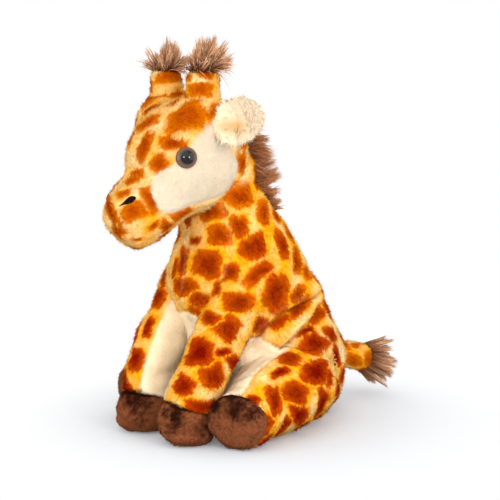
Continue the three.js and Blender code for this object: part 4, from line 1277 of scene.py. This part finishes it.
def pile_tints(tints, calm, clump, speck, rng):
    """Tints from root to tip, less even where the pile is brown. Painted shade darkens the roots and a
    painted highlight lightens the tips, both strongest where the pile is brown.
    """
    dark = smooth_step(0.5, 0.2, tints.max(axis=1))
    spread = 0.02 + 0.16 * (1 - calm) + 0.16 * dark
    speck = speck * (0.12 * (1 - calm) + 0.06 * dark)
    shade = np.maximum(1 + rng.normal(0, 1, len(tints)) * spread + 0.11 * clump + speck, 0.35)[:, None]
    # Painted shade at the roots, and a painted highlight at the tips
    root = tints * shade * (0.9 + 0.1 * calm - 0.15 * dark)[:, None]
    tip = np.minimum(tints * shade * (1.08 - 0.07 * calm + 0.3 * dark)[:, None], 1.0)
    return np.stack([root, root, root, tip], axis=1).reshape(-1, 3)


# Pile lies calm where its tint is pale: the tint's least channel over its greatest, from and to
CALM_TINTS = (0.36, 0.5)

# Shares of the pile's length: how far single fibres stray from it, and the limits of whole clumps
REACH_SPREAD = (0.7, 1.15)
CLUMP_LIMITS = (0.6, 1.5)
ROOT_DEPTH = 0.25
TIP_ABOVE_FLOOR = 0.05


def pile_strands(points, normals, combs, tints, lengths, seed, lean, fluff):
    """Short pointed fibres, combed along the cloth and calmer where it is pale."""
    rng = np.random.default_rng(seed)
    count = len(points)
    sweep = combs * fluff
    combs = unit(combs - normals * np.einsum("ij,ij->i", combs, normals)[:, None])
    sides = np.cross(normals, combs)
    calm = smooth_step(*CALM_TINTS, tints.min(axis=1) / tints.max(axis=1)) * (1 - fluff)
    rough = 1 - 0.7 * calm
    swirl = 0.5 * waves(points, 26, seed + 1) + 0.4 * rough * waves(points, 3.2, seed + 2)
    swirl = swirl + rng.normal(0, 0.25, count)
    combs = combs * np.cos(swirl)[:, None] + sides * np.sin(swirl)[:, None]
    clump = waves(points, 2.0, seed + 4) * (1 - 0.85 * calm)
    rise = lean + 0.1 * rough * waves(points, 4.0, seed + 3) + 0.2 * clump
    rise = rise + rng.normal(0, 0.1, count) * rough
    lengths = lengths * np.clip(1 + 0.16 * clump, *CLUMP_LIMITS)
    aims = unit(normals * np.sin(rise)[:, None] + combs * np.cos(rise)[:, None] + sweep)
    reach = lengths * rng.uniform(*REACH_SPREAD, count)
    roots = points - normals * ROOT_DEPTH
    tips = roots + aims * reach[:, None]
    tips[:, 2] = np.maximum(tips[:, 2], TIP_ABOVE_FLOOR)
    side = unit(np.cross(aims, rng.normal(size=(count, 3))))
    half = (PILE_WIDTH / 2 * (1 + 0.9 * calm))[:, None]
    corners = ring_corners(roots, side, np.cross(aims, side), half)
    verts = np.stack([*corners, tips], axis=1).reshape(-1, 3)
    verts[:, 2] = np.maximum(verts[:, 2], 0.0)
    faces = (np.arange(count)[:, None, None] * 4 + STRAND_FACES).reshape(-1, 3)
    colours = pile_tints(tints, calm, clump, waves(points, 1.3, seed + 5, count=24), rng)
    tilt = (0.34 * (1 - 0.7 * calm))[:, None]
    soft = unit(normals * (1 - tilt) + aims * tilt + rng.normal(0, 0.09, (count, 3)) * rough[:, None])
    return verts, faces, colours, np.repeat(soft, 4, axis=0)


def add_pile(name, form, material, seed, keep, length, lean=0.42, fluff=0.0):
    """Covers a form with pile, in pieces from its right to its left."""
    points, *looks, shares = sample_surface(form, np.random.default_rng(seed), keep)
    pieces = []
    parts = max(1, math.ceil(len(points) / STRANDS_PER_PIECE))
    for i, chosen in enumerate(np.array_split(np.argsort(points[:, 0], kind="stable"), parts)):
        own = [values[chosen] for values in (points, *looks)]
        verts, faces, colours, soft = pile_strands(*own, length * shares[chosen], seed + 11, lean, fluff)
        label = name if parts == 1 else f"{name}_{i + 1}"
        piece = make_piece(label, verts, [faces], colours, material)
        strand_map(piece.data, len(chosen))
        piece.data.normals_split_custom_set_from_vertices(soft)
        pieces.append(piece)
    return pieces


# Strands of yarn

LOCK_TAPER = (1.0, 0.95, 0.85, 0.65, 0.0)
TUFT_STRANDS = 1500
MANE_STRANDS = 6500


def lock_owners(hearts, locks, rng):
    """The fibre that leads each fibre's lock: the nearest of some chosen ones."""
    leaders = rng.choice(len(hearts), locks, replace=False)
    owner = np.empty(len(hearts), int)
    for i in range(0, len(hearts), 500):
        gaps = np.linalg.norm(hearts[i : i + 500, None] - hearts[leaders][None], axis=2)
        owner[i : i + 500] = leaders[gaps.argmin(axis=1)]
    return owner


def lock_faces(count):
    """Faces of fibres with three sides that end in a point."""
    last = 3 * (len(LOCK_TAPER) - 2)
    sides = [(k, (k + 1) % 3) for k in range(3)]
    quads = [[r + a, r + b, r + b + 3, r + a + 3] for r in range(0, last, 3) for a, b in sides]
    triangles = [[2, 1, 0]] + [[last + a, last + b, last + 3] for a, b in sides]
    start = np.arange(count)[:, None, None] * (last + 4)
    return [(start + np.array(faces)).reshape(-1, len(faces[0])) for faces in (quads, triangles)]


def lock_strands(roots, aims, lengths, droop, tints, *, seed, width, curl, per_lock=34, uneven=0.25):
    """Long bending fibres that taper to a point and gather in locks."""
    rng = np.random.default_rng(seed)
    count = len(roots)
    side = unit(np.cross(aims, rng.normal(size=(count, 3))))
    other = np.cross(aims, side)
    phase = rng.uniform(0, TAU, count)
    owner = lock_owners(roots + aims * (lengths * 0.4)[:, None], max(8, count // per_lock), rng)
    lengths = lengths * rng.uniform(1 - uneven, 1 + 0.4 * uneven, count)[owner]
    aims = unit(aims + rng.normal(0, 0.6 * uneven, (count, 3))[owner])
    tips = roots + aims * lengths[:, None]
    lock_pull = (tips[owner] - tips) * rng.uniform(0.45, 0.95, count)[:, None]
    shade = rng.normal(1.0, 0.2, count)[:, None]
    verts, colours = [], []
    for t, taper in zip(np.linspace(0, 1, len(LOCK_TAPER)), LOCK_TAPER):
        bend = np.sin(phase + t * 4.5) * curl * lengths * t
        step = aims * (lengths * t)[:, None] + droop * (lengths * t * t)[:, None]
        centre = roots + step + side * bend[:, None] + lock_pull * t * t
        ring = ring_corners(centre, side, other, width / 2 * taper) if taper else [centre]
        verts += ring
        # Each fibre darkens towards its root: painted shade deep in the lock
        colours += [mix(COLOURS["yarn_root_shade"], tints, smooth_step(0.0, 0.95, t)) * shade] * len(ring)
    colours = np.clip(np.stack(colours, axis=1), 0, 1)
    return np.stack(verts, axis=1).reshape(-1, 3), lock_faces(count), colours.reshape(-1, 3)


def add_locks(name, material, strands, **settings):
    verts, faces, colours = lock_strands(*strands, **settings)
    verts[:, 2] = np.maximum(verts[:, 2], 0.3)
    return make_piece(name, verts, faces, colours, material)


def yarn_tints(count, rng):
    return mix(COLOURS["yarn"], COLOURS["yarn_tip"], rng.random(count) ** 1.5)


# Tufts, mane and tail tip

TUFT_WIDEST = math.radians(84)
TUFT_LEAN = 0.19
TAIL_TUFT_WIDEST = math.radians(23)
MANE_SPLIT = 166
MANE_LENGTH = 24.0
MANE_HALF_WIDTH = 10.0
MANE_SWELL = [(0, 0.6), (0.12, 0.85), (0.3, 1.0), (0.7, 1.0), (0.88, 0.8), (1, 0.5)]
MANE_SHADE = np.array([0.76, 0.57, 0.42])
MANE_HEIGHTS = (199.0, 194.0, 188.0, 181.0, 174.0, 167.0, 160.0, 153.0, 146.0, 140.0)


def horn_tuft(side_sign, seed):
    """Strands that burst from a horn's top: roots, aims, lengths, droop and tints."""
    rng = np.random.default_rng(seed)
    count = TUFT_STRANDS
    polar = np.minimum(np.abs(rng.normal(0, 0.5, count)), TUFT_WIDEST)
    turn = rng.uniform(0, TAU, count)
    flat = np.column_stack([np.cos(turn), np.sin(turn)])
    aims = np.column_stack([flat * np.sin(polar)[:, None], np.cos(polar)])
    lean = np.array([side_sign * 0.07 + TUFT_LEAN, 0.16, 0.0])
    aims = unit(aims + lean + rng.normal(0, 0.12, (count, 3)))
    top = HORN_TOP * np.array([side_sign, 1, 1])
    spread = np.minimum(np.sin(polar) * 1.1, 1) * HORN_RADIUS * 0.7
    roots = top + np.column_stack([flat * spread[:, None], 1.2 * np.cos(polar) - 1.0])
    height = 1.03 if side_sign > 0 else 0.85
    lengths = rng.uniform(12, 27, count) * (1 - 0.42 * (polar / TUFT_WIDEST) ** 2) * height
    hang = 0.12 * rng.uniform(0.0, 2.2, count) + 0.75 * rng.random(count) * smooth_step(0.7, 1.3, polar)
    return roots, aims, lengths, -Z_AXIS * hang[:, None], yarn_tints(count, rng)


def mane_line():
    """The back of the head and neck, from behind the ears to low on the neck."""
    trees = [FORMS["head"].tree(), FORMS["body"].tree()]
    rows = []
    for height in MANE_HEIGHTS:
        hits = [tree.ray_cast(Vector((0, 60, height)), Vector((0, -1, 0)))[0] for tree in trees]
        rows.append(max((np.array(place) for place in hits if place is not None), key=lambda place: place[1]))
    rows = np.array(rows)
    smooth = rows.copy()
    smooth[1:-1, 1] = (rows[:-2, 1] + rows[1:-1, 1] + rows[2:, 1]) / 3
    smooth[:, 1] = np.maximum(smooth[:, 1], rows[:, 1] - 1.5)
    return smooth


def mane_strands(seed):
    """Strands of the mane, and where along the neck each one stands."""
    rng = np.random.default_rng(seed)
    count = MANE_STRANDS
    place = rng.random(count)
    points, tangents = smooth_line(mane_line(), place, step=0.01)
    outward = np.column_stack([np.zeros(count), -tangents[:, 2], tangents[:, 1]])
    outward = unit(np.where((outward[:, 1] > -0.2)[:, None], outward, -outward))
    across = rng.uniform(-1, 1, count)
    aside = across * (MANE_HALF_WIDTH * (1 - 0.3 * place))
    back_off = 0.5 * aside**2 / NECK_RADIUS
    roots = points + X_AXIS * aside[:, None] - outward * (1.0 + back_off)[:, None]
    sideways = X_AXIS * (across * 0.75 + rng.normal(0, 0.2, count))[:, None]
    aims = unit(outward + sideways + tangents * (0.1 + rng.normal(0, 0.26, count))[:, None])
    swell = table_values(MANE_SWELL, place)[:, 0]
    lengths = MANE_LENGTH * swell * rng.uniform(0.66, 1.16, count)
    droop = -0.14 * Z_AXIS * rng.uniform(0.2, 1.2, (count, 1))
    return roots, aims, lengths, droop, yarn_tints(count, rng) * MANE_SHADE, points


def tail_tuft(seed):
    """Strands of the tail's tip."""
    rng = np.random.default_rng(seed)
    count = TUFT_STRANDS
    back = unit(np.array([0, TAIL_LENGTH, -TAIL_DROP * 2.0]))
    up = unit(Z_AXIS - back * back[2])
    share = np.sqrt(rng.random(count))
    polar = share * TAIL_TUFT_WIDEST
    turn = rng.uniform(0, TAU, count)
    flat = X_AXIS * np.cos(turn)[:, None] + up * np.sin(turn)[:, None]
    aims = back * np.cos(polar)[:, None] + flat * np.sin(polar)[:, None]
    aims = unit(aims + rng.normal(0, 0.06, (count, 3)))
    reach = (share * TAIL_RADIUS * 1.12)[:, None]
    roots = TAIL_END + flat * reach + back * (2.4 - 6.4 * share**3)[:, None]
    lengths = rng.uniform(18, 28, count) - 2 * share
    droop = -0.06 * Z_AXIS * rng.uniform(0.2, 1.2, (count, 1))
    return roots, aims, lengths, droop, yarn_tints(count, rng)


# Eyes

EYE_PLACE_SHARE = 0.545
EYE_TURN = math.radians(22)
EYE_RADIUS = 6.6
EYE_HEIGHT = 4.4
EYE_SINK = 0.4
PUPIL_SHARE = 0.62
CATCH_LIGHTS_PX = [(183.8, 157.3), (189.6, 157.3)]
CATCH_LIGHT_DISTANCE = 900
CATCH_LIGHT_SIZE = 105
CATCH_LIGHT_POWER = 1.2


def eye_axis():
    """The middle of the left eye's place on the head, and the way out from it."""
    turn = np.array([EYE_TURN])
    at = head_surface(EYE_PLACE_SHARE, turn)[0]
    ahead = head_surface(EYE_PLACE_SHARE + 0.02, turn)[0] - at
    round_step = head_surface(EYE_PLACE_SHARE, turn + 0.1)[0] - at
    out = unit(np.cross(round_step, ahead))
    return at, out if out[0] > 0 else -out


def eye_form():
    """A domed button with a rim, on a flat back."""
    at, out = eye_axis()
    side = unit(np.cross(out, Z_AXIS))
    up = np.cross(side, out)
    turns = np.linspace(0, math.pi / 2, 26)[:-1]
    dome = EYE_HEIGHT * 0.9
    profile = [(0.02, -1.6), (0.8, -1.6), (0.97, -1.2), (1.0, -0.6)]
    profile += [(math.cos(t), dome * math.sin(t) - EYE_SINK) for t in turns] + [(0.02, dome - EYE_SINK)]
    profile = np.array(profile)
    size = profile[:, :1] * EYE_RADIUS
    rings = oval_rings(at + out * profile[:, 1:], side * size, up * size, 64)
    form = loft(rings, np.linspace(0, 1, len(profile)))
    offset = form.points - at
    radial = np.linalg.norm(offset - out * (offset @ out)[:, None], axis=1) / EYE_RADIUS
    angle = np.arctan2(offset @ up, offset @ side)
    streak = 0.08 * np.sin(angle * 23) + 0.05 * np.sin(angle * 41 + 1)
    light = np.clip((radial - PUPIL_SHARE) * 2.4 + streak, 0, 1)
    iris = mix(COLOURS["iris_dark"], COLOURS["iris_light"], light)
    iris = mix(iris, COLOURS["iris_rim"], smooth_step(0.93, 1.0, radial))
    form.tint = mix(COLOURS["pupil"], iris, smooth_step(PUPIL_SHARE - 0.015, PUPIL_SHARE + 0.015, radial))
    return form


def catch_lights():
    """Two small lamps that show as bright dots on the near eye."""
    trees = [eye_form().tree()]
    for i, (x, y) in enumerate(CATCH_LIGHTS_PX):
        place, normal, _ = cast(trees, x, y)
        ray = camera_ray(x, y)
        lamp_place = place + (ray - 2 * normal * (ray @ normal)) * CATCH_LIGHT_DISTANCE
        area_light(f"catch_light_{i + 1}", lamp_place, CATCH_LIGHT_SIZE, CATCH_LIGHT_POWER, place)


# Stitched nostrils and closing stitch


def thread_tube(line, width, sides=8):
    """A stitched bar or thread that follows a line of points."""
    line = np.asarray(line, float)
    places = np.linspace(0, 1, len(line))
    tangents = unit(np.gradient(line, axis=0))
    side = unit(np.cross(tangents, np.array([0.3, 0.2, 0.9])))
    up = np.cross(tangents, side)
    taper = np.clip(np.sin(places * math.pi) ** 0.45, 0.12, 1) * np.asarray(width) / 2
    return loft(oval_rings(line, side * taper[:, None], up * taper[:, None], sides), places)


NOSTRIL_PX = [(118.5, 206.5), (127.0, 202.0), (136.0, 197.5)]
FAR_NOSTRIL_PX = [(138.5, 205.5), (145.5, 201.5), (152.5, 197.5)]
NOSTRIL_WIDTHS = [(0, 1.0), (0.35, 2.0), (0.6, 4.0), (0.85, 5.6), (1, 4.8)]
NOSTRIL_THREADS = 15
CLOSING_STITCH_PX = [
    (334, 352), (331, 356), (333, 360), (337, 358), (334, 355), (331, 362), (333, 367), (337, 365),
    (334, 362), (331, 369), (333, 374), (337, 372), (335, 369), (333, 378),
]
STITCH_ABOVE = 3.0


def bare_nostrils():
    """Shortens the pile where the nostrils are stitched."""
    head = FORMS["head"]
    trees = [head.tree()]
    for line in (seam_line(trees, NOSTRIL_PX), seam_line(trees, FAR_NOSTRIL_PX) * MIRROR):
        distance = line_distance(head.points, line)
        head.pile = head.pile * smooth_step(1.4, 3.0, distance)
        head.push(-0.5 * bell(distance, 3))


def closing_form():
    """The curly thread that closes the seam behind the haunch."""
    trees = [FORMS[name].tree() for name in ("body", "hind_leg_left")]
    pixels = np.array(CLOSING_STITCH_PX, float)
    reaches = np.array([cast(trees, x, y)[2] for x, y in pixels])
    plane = np.column_stack([pixels, np.ones(len(pixels))])
    reaches = plane @ np.linalg.lstsq(plane, reaches, rcond=None)[0] - STITCH_ABOVE
    corners = CAMERA_PLACE + np.array([camera_ray(x, y) for x, y in pixels]) * reaches[:, None]
    form = thread_tube(smooth_line(corners, np.linspace(0, 1, 140))[0], 0.9)
    form.tint = np.tile(COLOURS["thread"], (len(form.points), 1))
    return form


def nostril_form(trees, pixels):
    """A satin-stitched bar, with its threads across it."""
    places = np.linspace(0, 1, 90)
    line, _ = smooth_line([cast(trees, x, y)[0] for x, y in pixels], places)
    width = table_values(NOSTRIL_WIDTHS, places)[:, 0]
    ridges = 1 + 0.09 * np.sin(places * TAU * NOSTRIL_THREADS)
    form = thread_tube(line, width * ridges, sides=20)
    # Painted shade between the threads, in step with their ridges
    shade = 0.5 + 0.5 * np.sin(form.along * TAU * NOSTRIL_THREADS)
    form.tint = mix(COLOURS["nostril_dark"], COLOURS["nostril_light"], shade)
    form.tint = mix(form.tint, COLOURS["nostril_end"], smooth_step(0.5, 0.1, form.along))
    return form


# Lights, floor and camera

LAMP_AIM = (0, -10, 110)

# Place, size and power of each lamp
LAMPS = {
    "key": ((950, -850, 1050), 1500, 6.0),
    "front_fill": ((-50, -1350, 380), 1300, 7.0),
    "right_fill": ((1250, 350, 450), 1300, 7.0),
    "left_fill": ((-1250, 150, 500), 1300, 2.5),
}
WHITE = (1, 1, 1, 1)
FLOOR_COLOUR = (0.665, 0.70, 0.73, 1)
FLOOR_HALF_SIZE = 6000

# How the floor's glow rises outwards: between which distances in metres, and between which shares
FLOOR_GLOW = {"From Min": 0.08, "From Max": 0.17, "To Min": 0.12, "To Max": 1.0}


def aim_from(place, aim):
    return (Vector(aim) - Vector(place)).to_track_quat("-Z", "Y").to_euler()


def area_light(name, place, size, power, aim):
    light = bpy.data.lights.new(name, "AREA")
    light.shape = "DISK"
    light.size = size * MM
    light.energy = power
    lamp = bpy.data.objects.new(name, light)
    lamp.location = Vector(place) * MM
    lamp.rotation_euler = aim_from(place, aim)
    bpy.context.scene.collection.objects.link(lamp)


def studio():
    scene = bpy.context.scene
    scene.view_settings.view_transform = "Standard"
    for name, lamp in LAMPS.items():
        area_light(name, *lamp, LAMP_AIM)
    world = bpy.data.worlds.new("studio")
    scene.world = world
    world.use_nodes = True
    backdrop = world.node_tree.nodes["Background"]
    backdrop.inputs["Color"].default_value = WHITE
    backdrop.inputs["Strength"].default_value = 1.0


def floor_material():
    """White cloth that glows further out, for rays that see it directly."""
    material = bpy.data.materials.new("floor")
    material.use_nodes = True
    nodes, links = material.node_tree.nodes, material.node_tree.links
    nodes.clear()
    output = nodes.new("ShaderNodeOutputMaterial")
    cloth, glow = nodes.new("ShaderNodeBsdfDiffuse"), nodes.new("ShaderNodeEmission")
    cloth.inputs["Color"].default_value = FLOOR_COLOUR
    glow.inputs["Color"].default_value = WHITE
    place, length = nodes.new("ShaderNodeTexCoord"), nodes.new("ShaderNodeVectorMath")
    length.operation = "LENGTH"
    fade = nodes.new("ShaderNodeMapRange")
    fade.interpolation_type = "SMOOTHSTEP"
    for socket, value in FLOOR_GLOW.items():
        fade.inputs[socket].default_value = value
    path, only = nodes.new("ShaderNodeLightPath"), nodes.new("ShaderNodeMath")
    direct, through = nodes.new("ShaderNodeMath"), nodes.new("ShaderNodeMath")
    only.operation = "MULTIPLY"
    direct.operation = through.operation = "MAXIMUM"
    join = nodes.new("ShaderNodeMixShader")
    links.new(place.outputs["Object"], length.inputs[0])
    links.new(length.outputs["Value"], fade.inputs["Value"])
    links.new(path.outputs["Is Camera Ray"], direct.inputs[0])
    links.new(path.outputs["Is Glossy Ray"], direct.inputs[1])
    links.new(direct.outputs["Value"], through.inputs[0])
    links.new(path.outputs["Is Transmission Ray"], through.inputs[1])
    links.new(fade.outputs["Result"], only.inputs[0])
    links.new(through.outputs["Value"], only.inputs[1])
    links.new(only.outputs["Value"], join.inputs["Fac"])
    links.new(cloth.outputs["BSDF"], join.inputs[1])
    links.new(glow.outputs["Emission"], join.inputs[2])
    links.new(join.outputs["Shader"], output.inputs["Surface"])
    return material


def floor():
    """A white floor that keeps the toy's shadow and fades to the white of the backdrop."""
    corners = FLOOR_HALF_SIZE * np.array([[-1, -1, 0], [1, -1, 0], [1, 1, 0], [-1, 1, 0]], float)
    sheet = make_piece("floor", corners, [np.array([[0, 1, 2, 3]])], np.ones((4, 3)), floor_material())


def camera():
    lens = bpy.data.cameras.new("camera")
    lens.lens = CAMERA_LENS
    lens.sensor_width = CAMERA_SENSOR
    lens.clip_start = 0.01
    view = bpy.data.objects.new("camera", lens)
    view.location = Vector(CAMERA_PLACE) * MM
    view.rotation_euler = aim_from(CAMERA_PLACE, CAMERA_AIM)
    bpy.context.scene.collection.objects.link(view)
    bpy.context.scene.camera = view


# Assembly

# Forms that bend at a joint, which stay unattached here: the body they hang on, their root, and where the
# bend starts and ends from there
BENDS = {
    "front_leg": ("torso", SHOULDER, (0, 2.0, 4.0), (0, -12.0, -26.0)),
    "hind_leg": ("torso", HIP, (0, -4.0, 0), (0, -30.0, 0)),
    "tail": ("torso", TAIL_ROOT, (0, 1.0, 0), (0, 14.0, 0)),
    "ear": ("head", EAR_ROOT, (0, 0, 0), EAR_OUT * 8),
}
NODES_OF = {
    "body": ("body_skin", "belly_panel", "body_filling", "pellet_bag"),
    "head": ("head", "cheek_patch_left", "cheek_patch_right"),
}


def attach(piece, name):
    """Rides a piece on the body that carries its form, or leaves it unattached where its form bends at a
    joint.
    """
    part = next((part for part in BENDS if name.startswith(part)), None)
    if part:
        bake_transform(piece)
    elif "hoof" in name:
        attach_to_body(piece, name.replace("hoof", "leg"))
    else:
        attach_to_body(piece, "torso" if name == "body" else "head")


def seen_share(name, trees):
    """1 where a form shows, 0 where it lies well inside another."""
    points = FORMS[name].points
    keep = np.ones(len(points))
    for other, shape in FORMS.items():
        if other == name or (name.startswith("ear") and other.startswith("ear")):
            continue
        low, high = shape.points.min(axis=0), shape.points.max(axis=0)
        near = ((points > low) & (points < high)).all(axis=1)
        keep[near] *= signed_distance(trees[other], points[near]) > -1.6
    return keep


def dress():
    """The stuffed forms, each with its cloth and its pile."""
    skin, pile = plush_material(), strand_material("plush_pile", roughness=0.95, gloss=0.02)
    trees = {name: form.tree() for name, form in FORMS.items()}
    for i, (name, form) in enumerate(FORMS.items()):
        piece = form_piece(f"{name}_plush", form, skin)
        attach(piece, name)
        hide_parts(*NODES_OF.get(name, (name,)))
        keep = seen_share(name, trees) * (form.points[:, 2] > 0.4)
        coat = {"length": PILE_LENGTH * (0.9 if "hoof" in name else 1.0)}
        if "lining" in name:
            coat = {"length": PILE_LENGTH * 1.6, "lean": 0.5, "fluff": 0.75}
            keep = keep * (form.normals()[:, 1] < 0.1)
        for strand_piece in add_pile(f"{name}_pile", form, pile, 1000 + i * 17, keep, **coat):
            attach(strand_piece, name)


def dress_yarn():
    """The tufts, the two runs of the mane and the tail's tip."""
    yarn = strand_material("yarn", roughness=0.7, gloss=0.12)
    for side, sign in (("left", 1), ("right", -1)):
        strands = horn_tuft(sign, seed=40 + sign)
        settings = {"seed": 50 + sign, "width": 0.6, "curl": 0.03, "uneven": 0.18}
        piece = add_locks(f"horn_tuft_{side}_yarn", yarn, strands, **settings)
        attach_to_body(piece, "head")
        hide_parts(f"horn_tuft_{side}")
    *strands, points = mane_strands(seed=60)
    upper = points[:, 2] > MANE_SPLIT
    settings = {"seed": 61, "width": 0.5, "curl": 0.05, "per_lock": 55, "uneven": 0.3}
    for name, chosen in (("head_mane", upper), ("neck_mane", ~upper)):
        piece = add_locks(f"{name}_yarn", yarn, [values[chosen] for values in strands], **settings)
        if name == "head_mane":
            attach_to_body(piece, "head")
        else:
            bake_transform(piece)
        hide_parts(name)
    piece = add_locks("tail_tuft_yarn", yarn, tail_tuft(seed=70), seed=71, width=0.65, curl=0.02)
    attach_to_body(piece, "tail")
    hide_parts("tail_tuft")


def dress_face():
    """The eyes, the stitched nostrils and the closing stitch."""
    glossy, thread = eye_material(), strand_material("thread", roughness=0.8, gloss=0.08)
    trees = [FORMS["head"].tree()]
    eye = eye_form()
    far_nostril = nostril_form(trees, FAR_NOSTRIL_PX).mirrored()
    for side, button, nostril in (
        ("left", eye, nostril_form(trees, NOSTRIL_PX)),
        ("right", eye.mirrored(), far_nostril),
    ):
        piece = form_piece(f"eye_{side}_button", button, glossy)
        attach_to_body(piece, "head")
        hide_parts(f"eye_{side}")
        piece = form_piece(f"nostril_{side}_stitch", nostril, thread)
        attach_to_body(piece, "head")
    piece = form_piece("closing_stitch", closing_form(), thread)
    attach(piece, "hind_leg_left")


def dress_washers():
    """The washers inside the head keep their solids and take plastic of their own."""
    material = washer_material()
    for side in ("left", "right"):
        slots = frame["nodes"][f"eye_washer_{side}"].data.materials
        slots.clear()
        slots.append(material)


camera()
studio()
catch_lights()
floor()
build_forms()
draw_in_nape()
raise_brow()
soften_forms()
wrinkle_forms()
sew_seams()
bare_nostrils()
paint_forms(build_spots())
dress()
dress_yarn()
dress_face()
dress_washers()
